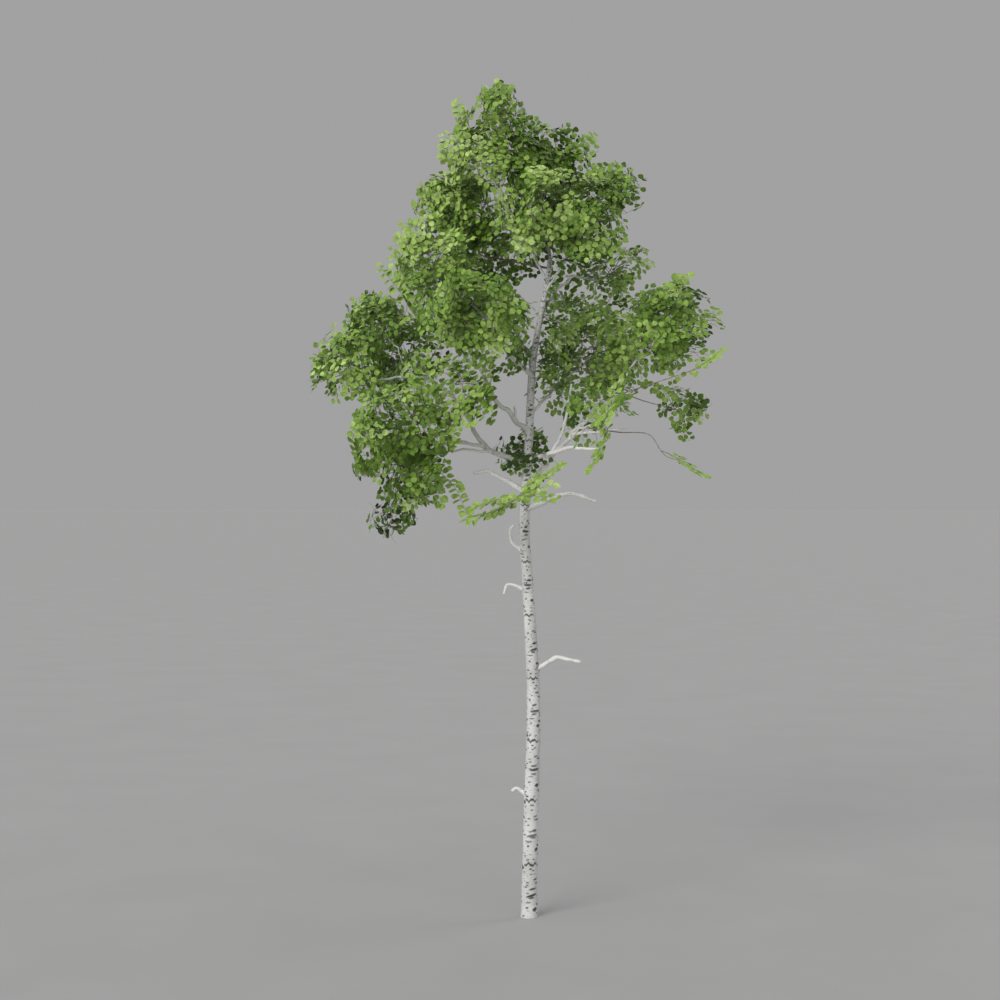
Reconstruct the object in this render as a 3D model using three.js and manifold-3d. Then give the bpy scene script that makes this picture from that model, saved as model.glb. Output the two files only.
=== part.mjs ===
// Aspen tree in summer leaf: a slender pale trunk, dead limbs and stubs low down, and a crown of boughs
// that each end in a mass of leafy twigs. Millimetres, +Z up, the origin at the middle of the trunk's foot.
// Turn is measured round the trunk: 0 is +X, 90 is +Y.
import * as THREE from "three";
import { mergeVertices } from "three/addons/utils/BufferGeometryUtils.js";
import Module from "manifold-3d";

// Trunk: the places that its middle passes, its taper and the slight flare at its foot
const TRUNK_TOP = 8560;
const TRUNK_FOOT_RADIUS = 86;
const TRUNK_TAPER = 0.92;
const TRUNK_TAPER_POWER = 1.35;
const FLARE = 7;
const FLARE_HEIGHT = 160;
const TRUNK_SIDES = 14;
const TRUNK_STEP = 245;
const TRUNK_PATH = [
  [0, 0, 0],
  [20, 5, 1000],
  [48, 0, 2350],
  [-5, -15, 3450],
  [-50, -10, 4300],
  [0, 10, 5150],
  [45, 15, 6000],
  [190, 0, 6830],
  [220, -10, 7120],
  [70, 5, 7700],
  [-200, 0, TRUNK_TOP],
];

// Boughs and twigs: a bough's foot grows thicker with its length, and it ends where its leaves begin
const BOUGH_FOOT_RADIUS = 9;
const BOUGH_RADIUS_PER_LENGTH = 0.0105;
const BOUGH_MOST_OF_PARENT = 0.66;
const BOUGH_TIP_RADIUS = 11;
const BOUGH_LEAST_TAPER = 0.75;
const BOUGH_SIDES = 6;
const BOUGH_STEP = 260;
const BOUGH_FEWEST_STEPS = 3;
const BOUGH_ENTRY = 0.7;
const BOUGH_CROOK = 0.045;
const BOUGH_CROOK_SHARES = [0.3, 0.62];
const DEAD_SIDES = 5;
const DEAD_STEPS = 7;
const DEAD_TIP_SHARE = 0.5;
const JOINT_GAP = 0.3;
const HALVINGS = 40;
const FIRST_SEED = 7;
const SEED_STEP = 13;

// Leafy twigs: they leave a mass's stem at the golden turn, and each ends in a ring of leaves. A leaf stands
// for a spray of real ones, and takes a smaller size where a larger one would leave the mass's space.
const DIRECT_STEM_RADIUS = 13;
const STEM_TIP_RADIUS = 7;
const STEM_END = 0.35;
const STEM_SIDES = 4;
const STEM_STEPS = 3;
const STEM_SHARES = Array.from({ length: 41 }, (_, k) => k / 40);
const TWIG_CORNERS = [0, 1, 2];
const CORNER_TURN = (2 * Math.PI) / TWIG_CORNERS.length;
const TWIG_ROOT_RADIUS = 5;
const TWIG_TIP_RADIUS = 2;
const TWIG_LEAN = 64;
const TWIG_LEAN_JITTER = 16;
const TWIG_TURN_JITTER = 25;
const TWIG_LEAST = 70;
const TWIG_SHORTEST_REACH = 0.6;
const TWIG_LONGEST_REACH = 0.86;
const SPACE_PER_TWIG = 0.47e6;
const FEWEST_TWIGS = 5;
const GOLDEN_TURN = 137.5;
const LEAVES_PER_TWIG = 5;
const LEAF_LENGTH = 290;
const LEAF_MOST_OF_SPACE = 0.8;
const LEAF_SIZES = [1, 0.82, 0.66, 0.5, 0.36];
const LEAF_SIZE_SPREAD = 0.15;
const LEAF_LEAN = 78;
const LEAF_LEAN_JITTER = 20;
const LEAF_TURN_JITTER = 8;
const LEAF_THICKNESS = 8;
const SPRIG_SIZES = [1, 0.8, 0.62];
const CLEARANCE = 1;
const SLIVER = 0.15;

// The outline of one leaf in a ring, as shares of its length at shares of its turn from its own middle
const NOTCH_REACH = 0.36;
const LEAF_OUTLINE = [
  { turn: -0.37, reach: 0.76 },
  { turn: -0.18, reach: 0.97 },
  { turn: 0.18, reach: 0.97 },
  { turn: 0.37, reach: 0.76 },
];

// Each row is a bough and the mass of leaves at its end. Turn, out and up place the middle of the leaves
// round the trunk's foot, wide and tall are the half-sizes of their space. The bough leaves the trunk at
// height, or another bough at a share of its length, and girth makes it thicker or thinner than its length
// asks. Bow raises or sags its middle, or bends give the lift at shares of its way, its end included. A row
// with direct has no bough: its stem grows from the trunk.
const MASSES = [
  { name: "top", turn: 180, out: 310, up: 8720, wide: 280, tall: 330, height: TRUNK_TOP, direct: true },
  {
    name: "top_left", turn: 202, out: 550, up: 8190, wide: 440, tall: 460,
    height: 6850, bow: 0, girth: 0.75,
  },
  { name: "top_right", turn: 50, out: 430, up: 8210, wide: 460, tall: 450, height: 7750, direct: true },
  { name: "upper_front", turn: 285, out: 530, up: 7560, wide: 540, tall: 490, height: 7250, direct: true },
  { name: "upper_right", turn: 3, out: 860, up: 7810, wide: 380, tall: 360, height: 7350, bow: 30 },
  { name: "upper_left", turn: 163, out: 750, up: 7680, wide: 540, tall: 480, height: 7200, bow: 40 },
  { name: "fork_right", turn: 320, out: 720, up: 7330, wide: 440, tall: 360, height: 6740, bow: 20 },
  { name: "fork_left", turn: 130, out: 700, up: 7200, wide: 540, tall: 480, height: 7000, direct: true },
  {
    name: "left_inner", turn: 220, out: 850, up: 5690, wide: 440, tall: 440,
    height: 5235, girth: 1.9, bends: [[0.35, 20], [0.75, 75], [1, 90]],
  },
  {
    name: "left_shoulder", turn: 202, out: 1100, up: 7060, wide: 480, tall: 430,
    from: "left_inner", share: 0.86, bends: [[0.12, 20], [0.3, -60], [0.6, -260], [1, -220]],
  },
  {
    name: "back_right", turn: 47, out: 1340, up: 7100, wide: 480, tall: 380,
    height: 6540, bends: [[0.3, 130], [0.62, 160], [1, 0]],
  },
  { name: "back_left", turn: 122, out: 1680, up: 6830, wide: 520, tall: 480, height: 6050, bow: 40 },
  {
    name: "left_front", turn: 244, out: 1180, up: 6390, wide: 660, tall: 460,
    height: 5850, girth: 1.4, bends: [[0.35, -40], [0.7, -60], [1, 0]],
  },
  {
    name: "left_far", turn: 187, out: 1910, up: 5940, wide: 450, tall: 440,
    height: 4905, bends: [[0.17, -70], [0.28, -85], [0.46, 220], [0.67, 300], [1, 0]],
  },
  {
    name: "left_far_high", turn: 169, out: 1670, up: 6460, wide: 400, tall: 340,
    from: "left_far", share: 0.8, bow: 0,
  },
  {
    name: "left_back", turn: 151, out: 1620, up: 6130, wide: 540, tall: 450,
    from: "left_far", share: 0.68, bow: 0,
  },
  {
    name: "left_low", turn: 207, out: 1500, up: 5330, wide: 600, tall: 400,
    from: "left_far", share: 0.54, bow: 60,
  },
  {
    name: "left_droop", turn: 197, out: 1410, up: 4820, wide: 560, tall: 380,
    from: "left_far", share: 0.74, bow: 70,
  },
  {
    name: "left_trail", turn: 165, out: 1560, up: 4320, wide: 340, tall: 250,
    from: "left_droop", share: 0.6, bow: 60, girth: 0.6,
  },
  { name: "right_inner", turn: 48, out: 1070, up: 6130, wide: 540, tall: 790, height: 5420, bow: 20 },
  {
    name: "right_far", turn: 347, out: 1430, up: 6330, wide: 600, tall: 530,
    height: 4620, bends: [[0.3, 0], [0.6, -30], [1, -60]],
  },
  {
    name: "right_low", turn: 312, out: 1130, up: 5400, wide: 440, tall: 480,
    from: "right_far", share: 0.3, bow: 30,
  },
  {
    name: "right_tip", turn: 333, out: 1960, up: 5860, wide: 280, tall: 190,
    from: "right_far", share: 0.7, bow: 20, girth: 0.4,
  },
  {
    name: "right_back", turn: 32, out: 2050, up: 5520, wide: 340, tall: 310,
    from: "right_far", share: 0.76, bow: 60, girth: 0.4,
  },
  {
    name: "right_trail", turn: 340, out: 1660, up: 4960, wide: 300, tall: 180,
    from: "right_low", share: 0.9, girth: 0.4, bends: [[0.45, 60], [0.85, 130], [1, 0]],
  },
  { name: "front_low", turn: 258, out: 900, up: 4530, wide: 520, tall: 340, height: 4500, direct: true },
  { name: "back_low", turn: 97, out: 1180, up: 5100, wide: 440, tall: 300, height: 4990, direct: true },
];

// Dead limbs: each goes out to an elbow that is rise above its root, then on to a tip that is drop below that
const DEAD_LIMBS = [
  { name: "dead_right_long", turn: 356, height: 4395, reach: 770, rise: 185, drop: 95, elbow: 0.6, foot: 26 },
  { name: "dead_left_long", turn: 186, height: 4590, reach: 560, rise: 225, drop: 30, elbow: 0.72, foot: 26 },
  { name: "dead_right_mid", turn: 325, height: 4930, reach: 920, rise: 128, drop: 31, elbow: 0.58, foot: 22 },
  {
    name: "dead_left_mid", turn: 187,
    from: "left_far", share: 0.25, reach: 570, rise: 54, drop: 140, elbow: 0.64, foot: 18,
  },
  {
    name: "dead_left_low", turn: 205,
    from: "left_far", share: 0.2, reach: 480, rise: 16, drop: 32, elbow: 0.79, foot: 16,
  },
  {
    name: "dead_right_up", turn: 330,
    from: "right_far", share: 0.2, reach: 300, rise: 365, drop: -480, elbow: 0.69, foot: 17,
  },
  {
    name: "dead_right_far", turn: 350,
    from: "right_far", share: 0.43, reach: 600, rise: 30, drop: -20, elbow: 0.6, foot: 15,
  },
  { name: "stub_left_up", turn: 184, height: 3920, reach: 170, rise: 130, drop: -130, elbow: 0.9, foot: 21 },
  { name: "stub_left_hook", turn: 176, height: 3520, reach: 265, rise: 78, drop: 116, elbow: 0.84, foot: 19 },
  { name: "stub_right", turn: 352, height: 2660, reach: 525, rise: 145, drop: 48, elbow: 0.52, foot: 25 },
  { name: "stub_left_foot", turn: 172, height: 1290, reach: 215, rise: 100, drop: 40, elbow: 0.72, foot: 24 },
];

const bark = new THREE.MeshStandardMaterial({ color: 0xd6d5d0, roughness: 0.85, metalness: 0 });
const deadWood = new THREE.MeshStandardMaterial({ color: 0xbdbcb8, roughness: 0.9, metalness: 0 });
const leafGreen = new THREE.MeshStandardMaterial({ color: 0x6f9a3c, roughness: 0.55, metalness: 0 });

const UP = new THREE.Vector3(0, 0, 1);
const wasm = await Module();
wasm.setup();

// A closed three.js geometry as a solid for joining and cutting
function solidOf(geometry) {
  const bare = new THREE.BufferGeometry().setIndex(geometry.getIndex());
  bare.setAttribute("position", geometry.getAttribute("position"));
  const merged = mergeVertices(bare, 1e-3);
  const vertProperties = new Float32Array(merged.getAttribute("position").array);
  const triVerts = new Uint32Array(merged.getIndex().array);
  return new wasm.Manifold(new wasm.Mesh({ numProp: 3, vertProperties, triVerts }));
}

function geometryOf(solid) {
  const { vertProperties, triVerts } = solid.getMesh();
  const geometry = new THREE.BufferGeometry();
  geometry.setAttribute("position", new THREE.BufferAttribute(new Float32Array(vertProperties), 3));
  geometry.setIndex(new THREE.BufferAttribute(new Uint32Array(triVerts), 1));
  geometry.computeVertexNormals();
  return geometry;
}

function largestBody(solid) {
  return solid.decompose().reduce((best, body) => (body.volume() > best.volume() ? body : best));
}

// Seeded random numbers from 0 to 1
function randomFrom(seed) {
  let state = seed;
  return () => {
    state = (state + 0x6d2b79f5) >>> 0;
    let mixed = Math.imul(state ^ (state >>> 15), state | 1);
    mixed ^= mixed + Math.imul(mixed ^ (mixed >>> 7), mixed | 61);
    return ((mixed ^ (mixed >>> 14)) >>> 0) / 4294967296;
  };
}

function heading(turn) {
  const angle = THREE.MathUtils.degToRad(turn);
  return new THREE.Vector3(Math.cos(angle), Math.sin(angle), 0);
}

// A level direction square to an axis
function sideOf(axis) {
  const side = UP.clone().cross(axis);
  if (side.lengthSq() < 0.01) side.set(1, 0, 0).cross(axis);
  return side.normalize();
}

// A direction that leans from an axis toward a side
function leanTo(axis, side, lean) {
  return axis.clone().multiplyScalar(Math.cos(lean)).addScaledVector(side, Math.sin(lean));
}

// A limb: a closed cylinder whose rings are laid along a curve. Level rings keep the cut foot flat.
function limbGeometry(curve, radiusAt, sides, steps, level = false) {
  const tube = new THREE.CylinderGeometry(1, 1, 1, sides, steps);
  const frames = curve.computeFrenetFrames(steps, false);
  const place = tube.getAttribute("position");
  for (let i = 0; i < place.count; i += 1) {
    const ring = Math.round((place.getY(i) + 0.5) * steps);
    const share = ring / steps;
    const normal = level ? new THREE.Vector3(1, 0, 0) : frames.normals[ring];
    const binormal = level ? new THREE.Vector3(0, 1, 0) : frames.binormals[ring];
    const radius = radiusAt(share);
    const point = curve
      .getPointAt(share)
      .addScaledVector(normal, place.getX(i) * radius)
      .addScaledVector(binormal, -place.getZ(i) * radius);
    place.setXYZ(i, point.x, point.y, point.z);
  }
  return tube;
}

// Trunk
const trunkCurve = new THREE.CatmullRomCurve3(TRUNK_PATH.map((point) => new THREE.Vector3(...point)));
trunkCurve.arcLengthDivisions = 2000;

function trunkRadius(height) {
  const taper = 1 - TRUNK_TAPER * (height / TRUNK_TOP) ** TRUNK_TAPER_POWER;
  return TRUNK_FOOT_RADIUS * taper + FLARE * Math.exp(-height / FLARE_HEIGHT);
}

// The share of the trunk's length at a height, by halving, as the trunk always rises
function trunkShare(height) {
  let low = 0;
  let high = 1;
  for (let i = 0; i < HALVINGS; i += 1) {
    const middle = (low + high) / 2;
    if (trunkCurve.getPointAt(middle).z < height) low = middle;
    else high = middle;
  }
  return (low + high) / 2;
}

function trunkSolid(gap) {
  const radiusAt = (share) => trunkRadius(trunkCurve.getPointAt(share).z) + gap;
  const steps = Math.round(trunkCurve.getLength() / TRUNK_STEP);
  return solidOf(limbGeometry(trunkCurve, radiusAt, TRUNK_SIDES, steps, true));
}

const trunkLimb = {
  curve: trunkCurve,
  radiusAt: (share) => trunkRadius(trunkCurve.getPointAt(share).z),
  solid: trunkSolid(0),
  swollen: trunkSolid(JOINT_GAP),
};

// A round limb that grows out of a parent limb, cut clear of the parent's surface
function makeLimb(curve, footRadius, tipRadius, sides, steps, parent) {
  const radiusAt = (share) => THREE.MathUtils.lerp(footRadius, tipRadius, share);
  const whole = solidOf(limbGeometry(curve, radiusAt, sides, steps));
  const swollen = solidOf(limbGeometry(curve, (share) => radiusAt(share) + JOINT_GAP, sides, steps));
  return { curve, radiusAt, swollen, solid: largestBody(whole.subtract(parent.swollen)) };
}

const limbs = new Map([["trunk", trunkLimb]]);

// Where a row's limb leaves its parent: the parent limb, the point and the parent's radius there
function rootOf(row) {
  const parent = limbs.get(row.from ? `bough_${row.from}` : "trunk");
  const share = row.from ? row.share : trunkShare(row.height);
  return { parent, point: parent.curve.getPointAt(share), radius: parent.radiusAt(share) };
}

// The space of a mass: an ellipsoid round its middle
function spaceOf(row) {
  const middle = heading(row.turn).multiplyScalar(row.out).setZ(row.up);
  const half = new THREE.Vector3(row.wide, row.wide, row.tall);
  return { middle, half, size: Math.cbrt(row.wide * row.wide * row.tall) };
}

// How far a ray runs inside a mass's ellipsoid
function roomAlong(space, from, direction) {
  const start = from.clone().sub(space.middle).divide(space.half);
  const way = direction.clone().divide(space.half);
  const a = way.lengthSq();
  const b = start.dot(way);
  const c = start.lengthSq() - 1;
  const inside = b * b - a * c;
  return inside <= 0 ? 0 : (-b + Math.sqrt(inside)) / a;
}

// Boughs: each runs from its root to where it enters its mass
function makeBough(row, space) {
  const root = rootOf(row);
  const inward = root.point.clone().sub(space.middle).normalize();
  const toEntry = BOUGH_ENTRY * roomAlong(space, space.middle, inward);
  const entry = space.middle.clone().addScaledVector(inward, toEntry);
  const random = randomFrom(row.seed);
  const crook = BOUGH_CROOK * root.point.distanceTo(entry);
  const across = sideOf(inward);
  const drawn = BOUGH_CROOK_SHARES.map((share) => [
    share,
    2 * row.bow * share * (1 - share) + crook * (random() - 0.5),
    2 * crook * (random() - 0.5),
  ]);
  const bends = (row.bends ?? [...drawn, [1, 0]]).map(([share, lift, swerve = 0]) =>
    root.point.clone().lerp(entry, share).addScaledVector(UP, lift).addScaledVector(across, swerve),
  );
  const curve = new THREE.CatmullRomCurve3([root.point, ...bends]);
  const length = curve.getLength();
  const girth = row.girth ?? 1;
  const wanted = girth * (BOUGH_FOOT_RADIUS + BOUGH_RADIUS_PER_LENGTH * length);
  const foot = Math.min(wanted, BOUGH_MOST_OF_PARENT * root.radius);
  const tip = Math.min(girth * BOUGH_TIP_RADIUS, BOUGH_LEAST_TAPER * foot);
  const steps = Math.max(BOUGH_FEWEST_STEPS, Math.round(length / BOUGH_STEP));
  return makeLimb(curve, foot, tip, BOUGH_SIDES, steps, root.parent);
}

// Dead limbs: bare, bent at an elbow
function makeDeadLimb(row) {
  const root = rootOf(row);
  const out = heading(row.turn);
  const elbow = root.point.clone().addScaledVector(out, row.reach * row.elbow).addScaledVector(UP, row.rise);
  const tip = root.point.clone().addScaledVector(out, row.reach).addScaledVector(UP, row.rise - row.drop);
  const curve = new THREE.CatmullRomCurve3([root.point, elbow, tip]);
  return makeLimb(curve, row.foot, row.foot * DEAD_TIP_SHARE, DEAD_SIDES, DEAD_STEPS, root.parent);
}

// The stem of a mass: on from its bough's tip, or out of the trunk, to the far side of its space
function makeStem(row, space) {
  const bough = limbs.get(`bough_${row.name}`);
  const fromTip = row.height === TRUNK_TOP ? trunkLimb : bough;
  const start = fromTip ? fromTip.curve.getPointAt(1) : rootOf(row).point;
  const ahead = fromTip ? fromTip.curve.getTangentAt(1) : space.middle.clone().sub(start).normalize();
  if (fromTip === trunkLimb) ahead.copy(UP);
  if (fromTip) start.addScaledVector(ahead, JOINT_GAP);
  const outward = space.middle.clone().sub(start).normalize();
  const toEnd = STEM_END * roomAlong(space, space.middle, outward);
  const end = space.middle.clone().addScaledVector(outward, toEnd);
  const bend = start.clone().addScaledVector(ahead, 0.5 * start.distanceTo(end));
  const curve = new THREE.QuadraticBezierCurve3(start, bend, end);
  const foot = fromTip ? fromTip.radiusAt(1) : DIRECT_STEM_RADIUS;
  const radiusAt = (share) => THREE.MathUtils.lerp(foot, Math.min(foot, STEM_TIP_RADIUS), share);
  const whole = solidOf(limbGeometry(curve, radiusAt, STEM_SIDES, STEM_STEPS));
  return { curve, solid: fromTip ? whole : largestBody(whole.subtract(trunkLimb.swollen)) };
}

// A twig and the ring of leaves at its end as one closed surface: the twig's three sides, then a fan of leaf
// above its tip and one below. The leaves are thickest at the tip and thin out to their edge.
function sprigGeometry(root, tip, across, edge) {
  const along = tip.clone().sub(root).normalize();
  const corners = (middle, radius) =>
    TWIG_CORNERS.map((k) => {
      const way = across.clone().applyAxisAngle(along, k * CORNER_TURN);
      return middle.clone().addScaledVector(way, radius);
    });
  const above = tip.clone().addScaledVector(along, LEAF_THICKNESS / 2);
  const below = tip.clone().addScaledVector(along, -LEAF_THICKNESS / 2);
  const foot = corners(root, TWIG_ROOT_RADIUS);
  const neck = corners(below, TWIG_TIP_RADIUS);
  const rim = edge.map((place) => place.point);
  const faces = [[foot[0], foot[2], foot[1]]];
  TWIG_CORNERS.forEach((k) => {
    const next = (k + 1) % TWIG_CORNERS.length;
    faces.push([foot[k], foot[next], neck[next]], [foot[k], neck[next], neck[k]]);
  });
  const middleTurn = (k) => (edge[k].turn + (edge[k + 1]?.turn ?? 2 * Math.PI)) / 2;
  const neckAt = (k) => neck[Math.round(middleTurn(k) / CORNER_TURN) % TWIG_CORNERS.length];
  rim.forEach((here, k) => {
    const next = rim[(k + 1) % rim.length];
    const before = neckAt((k + rim.length - 1) % rim.length);
    faces.push([above, here, next], [neckAt(k), next, here]);
    if (before !== neckAt(k)) faces.push([before, neckAt(k), here]);
  });
  return new THREE.BufferGeometry().setFromPoints(faces.flat());
}

// The edge of a ring of leaves round a twig's tip: each leaf takes the largest size that stays inside, and
// the notch between two leaves lies halfway between them
function ringEdge(tip, along, across, leaves, length, isInside) {
  const step = (2 * Math.PI) / leaves.length;
  const cornerAt = (turn, lean, reach) => {
    const way = leanTo(along, across.clone().applyAxisAngle(along, turn), lean);
    return { turn, point: tip.clone().addScaledVector(way, length * reach) };
  };
  const leafAt = (leaf, k, size) =>
    LEAF_OUTLINE.map((corner) => {
      const turn = step * (k + 0.5 + corner.turn) + leaf.turn * (1 - 2 * Math.abs(corner.turn));
      return cornerAt(turn, leaf.lean, size * leaf.size * corner.reach);
    });
  const sizes = leaves.map((leaf, k) => {
    const fits = (size) => leafAt(leaf, k, size).every((corner) => isInside(corner.point));
    return LEAF_SIZES.find(fits) ?? LEAF_SIZES.at(-1);
  });
  return leaves.flatMap((leaf, k) => {
    const last = (k + leaves.length - 1) % leaves.length;
    const lean = (leaf.lean + leaves[last].lean) / 2;
    const reach = (sizes[k] * leaf.size + sizes[last] * leaves[last].size) / 2;
    return [cornerAt(step * k, lean, reach * NOTCH_REACH), ...leafAt(leaf, k, sizes[k])];
  });
}

// The twigs of a mass leave its stem at the golden turn, run toward the edge of its space and end in leaves.
// One that would touch a limb, another mass or a twig before it is made smaller or left out. The slivers
// that joining leaves are merged away.
function growMass(row, space, stem, isInside, isClear) {
  const random = randomFrom(row.seed);
  const jitter = (size) => THREE.MathUtils.degToRad(size * (random() * 2 - 1));
  const leafLength = Math.min(LEAF_LENGTH, LEAF_MOST_OF_SPACE * space.size);
  const count = Math.max(FEWEST_TWIGS, Math.round((4 * Math.PI * space.size ** 2) / SPACE_PER_TWIG));
  const first = STEM_SHARES.find((share) => isInside(stem.curve.getPointAt(share)));
  const sprigs = [];
  for (let i = 0; i <= count; i += 1) {
    const last = i === count;
    const share = THREE.MathUtils.lerp(first, 1, last ? 1 : (i + 0.5) / count);
    const root = stem.curve.getPointAt(share);
    const ahead = stem.curve.getTangentAt(share);
    const turn = THREE.MathUtils.degToRad(i * GOLDEN_TURN) + jitter(TWIG_TURN_JITTER);
    const lean = (last ? 0 : THREE.MathUtils.degToRad(TWIG_LEAN)) + jitter(TWIG_LEAN_JITTER);
    const along = leanTo(ahead, sideOf(ahead).applyAxisAngle(ahead, turn), lean);
    const leastReach = last ? TWIG_LONGEST_REACH : TWIG_SHORTEST_REACH;
    const reach = THREE.MathUtils.lerp(leastReach, TWIG_LONGEST_REACH, random());
    const across = sideOf(along).applyAxisAngle(along, 2 * Math.PI * random());
    const leaves = Array.from({ length: LEAVES_PER_TWIG }, () => ({
      turn: jitter(LEAF_TURN_JITTER),
      lean: THREE.MathUtils.degToRad(LEAF_LEAN) + jitter(LEAF_LEAN_JITTER),
      size: 1 - LEAF_SIZE_SPREAD * random(),
    }));
    const twigLength = Math.max(TWIG_LEAST, roomAlong(space, root, along) * reach);
    if (!isInside(root)) continue;
    for (const size of SPRIG_SIZES) {
      const tip = root.clone().addScaledVector(along, twigLength * size);
      if (!isInside(tip)) continue;
      const edge = ringEdge(tip, along, across, leaves, leafLength * size, isInside);
      if (!edge.every((corner) => isInside(corner.point))) continue;
      const sprig = solidOf(sprigGeometry(root, tip, across, edge));
      if (!isClear(sprig) || sprigs.some((other) => sprig.minGap(other, CLEARANCE) < CLEARANCE)) continue;
      sprigs.push(sprig);
      break;
    }
  }
  return largestBody(wasm.Manifold.union([stem.solid, ...sprigs])).asOriginal().simplify(SLIVER);
}

// Assembly: trunk, boughs and dead limbs first, then the leaves that keep clear of them
MASSES.forEach((row, i) => {
  row.seed = FIRST_SEED + SEED_STEP * i;
  row.space = spaceOf(row);
  if (!row.direct) limbs.set(`bough_${row.name}`, makeBough(row, row.space));
});
DEAD_LIMBS.forEach((row) => limbs.set(row.name, makeDeadLimb(row)));
MASSES.forEach((row) => {
  row.stem = makeStem(row, row.space);
});

// The side of each neighbour that a mass keeps to, as planes between their middles
function makeInsideTest(row) {
  const { middle, half, size } = row.space;
  const walls = MASSES.filter((other) => other !== row).map((other) => {
    const normal = other.space.middle.clone().sub(middle);
    const share = size / (size + other.space.size);
    const wall = middle.clone().addScaledVector(normal, share);
    return new THREE.Plane().setFromNormalAndCoplanarPoint(normal.normalize(), wall);
  });
  return (point) =>
    point.clone().sub(middle).divide(half).length() <= 1 &&
    walls.every((wall) => wall.distanceToPoint(point) < -CLEARANCE);
}

function makeClearTest(row) {
  const stems = MASSES.filter((other) => other !== row).map((other) => other.stem.solid);
  const others = wasm.Manifold.union([...[...limbs.values()].map((limb) => limb.solid), ...stems]);
  return (solid) => solid.minGap(others, CLEARANCE) >= CLEARANCE;
}

function meshOf(name, solid, material) {
  const mesh = new THREE.Mesh(geometryOf(solid), material);
  mesh.name = name;
  return mesh;
}

const tree = new THREE.Group();
limbs.forEach((limb, name) => {
  const isDead = DEAD_LIMBS.some((row) => row.name === name);
  tree.add(meshOf(name, limb.solid, isDead ? deadWood : bark));
});
MASSES.forEach((row) => {
  const grown = growMass(row, row.space, row.stem, makeInsideTest(row), makeClearTest(row));
  tree.add(meshOf(`leaves_${row.name}`, grown, leafGreen));
});

export default tree;
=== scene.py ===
# Aspen tree in summer leaf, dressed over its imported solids. Metres, +Z up, the origin at the trunk's foot.
# The boughs, twigs and sprays grow by the rule of the part's own source, carried on to single leaves.
from collections import namedtuple
from math import atan2, cos, pi, radians, sin, sqrt

import bpy
import numpy as np
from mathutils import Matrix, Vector, kdtree
from numpy.linalg import norm


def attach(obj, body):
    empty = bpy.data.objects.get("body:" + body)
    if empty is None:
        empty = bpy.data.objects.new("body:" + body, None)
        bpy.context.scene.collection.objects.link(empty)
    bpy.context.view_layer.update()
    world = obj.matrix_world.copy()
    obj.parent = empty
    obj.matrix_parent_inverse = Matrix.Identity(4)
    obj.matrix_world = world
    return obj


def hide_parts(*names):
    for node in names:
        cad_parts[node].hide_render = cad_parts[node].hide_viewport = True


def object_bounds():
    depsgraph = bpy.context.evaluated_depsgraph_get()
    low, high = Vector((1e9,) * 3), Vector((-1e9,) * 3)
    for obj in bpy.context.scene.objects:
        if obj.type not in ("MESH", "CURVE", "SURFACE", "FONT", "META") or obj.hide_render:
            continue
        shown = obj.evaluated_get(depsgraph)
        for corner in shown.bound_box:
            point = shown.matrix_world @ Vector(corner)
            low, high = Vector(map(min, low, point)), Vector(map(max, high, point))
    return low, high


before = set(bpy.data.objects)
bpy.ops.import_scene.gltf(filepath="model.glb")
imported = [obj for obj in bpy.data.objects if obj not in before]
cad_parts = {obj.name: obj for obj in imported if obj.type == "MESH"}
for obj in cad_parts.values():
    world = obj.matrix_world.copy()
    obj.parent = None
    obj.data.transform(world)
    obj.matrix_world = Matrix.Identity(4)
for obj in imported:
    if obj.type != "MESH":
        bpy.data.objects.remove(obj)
cad_low, cad_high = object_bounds()

# Trunk
TRUNK_TOP = 8.56
TRUNK_FOOT_RADIUS = 0.086
TRUNK_TAPER = 0.92
TRUNK_TAPER_POWER = 1.35
FLARE = 0.007
FLARE_HEIGHT = 0.16
TRUNK_PATH = [
    (0, 0, 0), (0.02, 0.005, 1), (0.048, 0, 2.35), (-0.005, -0.015, 3.45), (-0.05, -0.01, 4.3),
    (0, 0.01, 5.15), (0.045, 0.015, 6), (0.19, 0, 6.83), (0.22, -0.01, 7.12), (0.07, 0.005, 7.7),
    (-0.2, 0, TRUNK_TOP),
]
TRUNK_SIDES = 84
TRUNK_RINGS = 1130
RING_CROWDING = 1.08
LINE_STEPS = 40
AHEAD_STEP = 0.002

# Boughs and dead limbs, with their knots for each metre
BOUGH_FOOT_RADIUS = 0.009
BOUGH_RADIUS_PER_LENGTH = 0.0105
BOUGH_MOST_OF_PARENT = 0.66
BOUGH_TIP_RADIUS = 0.011
BOUGH_LEAST_TAPER = 0.75
BOUGH_ENTRY = 0.7
BOUGH_CROOK = 0.045
BOUGH_CROOK_SHARES = (0.3, 0.62)
BOUGH_KNOTS = 7
BOUGH_WAVER = 0.035
BOUGH_SEED = 9001
THIN_BOUGH = 0.7
LIMB_SIDES = 12
LIMB_STEP = 0.018
LIMB_FEWEST = 8
WOOD_TEST_STEP = 0.02
WAVER_LENGTHS = (0.32, 0.13)
KNOT_SIZES = (0.1, 0.24)
KNOT_REACH = 1.1
# Ripples of a limb's skin: size, count round the limb and twist along it
RIPPLES = ((0.05, 3, 19), (0.04, 2, -43))
RIPPLE_PHASES = 6
COLLAR = 0.55
COLLAR_REACH = 1.1
DEAD_TIP_SHARE = 0.5
DEAD_FULLER = 1.18
DEAD_RISE_SHARES = (0.5, 0.93)
DEAD_PAST_ELBOW = 0.1
DEAD_KNOTS = 8
DEAD_WAVER = 0.015
DEAD_SEED_STEP = 17
# A last knee past the tip: how far it turns back and up
KNEES = {"stub_left_up": (-0.045, 0.05)}
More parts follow.
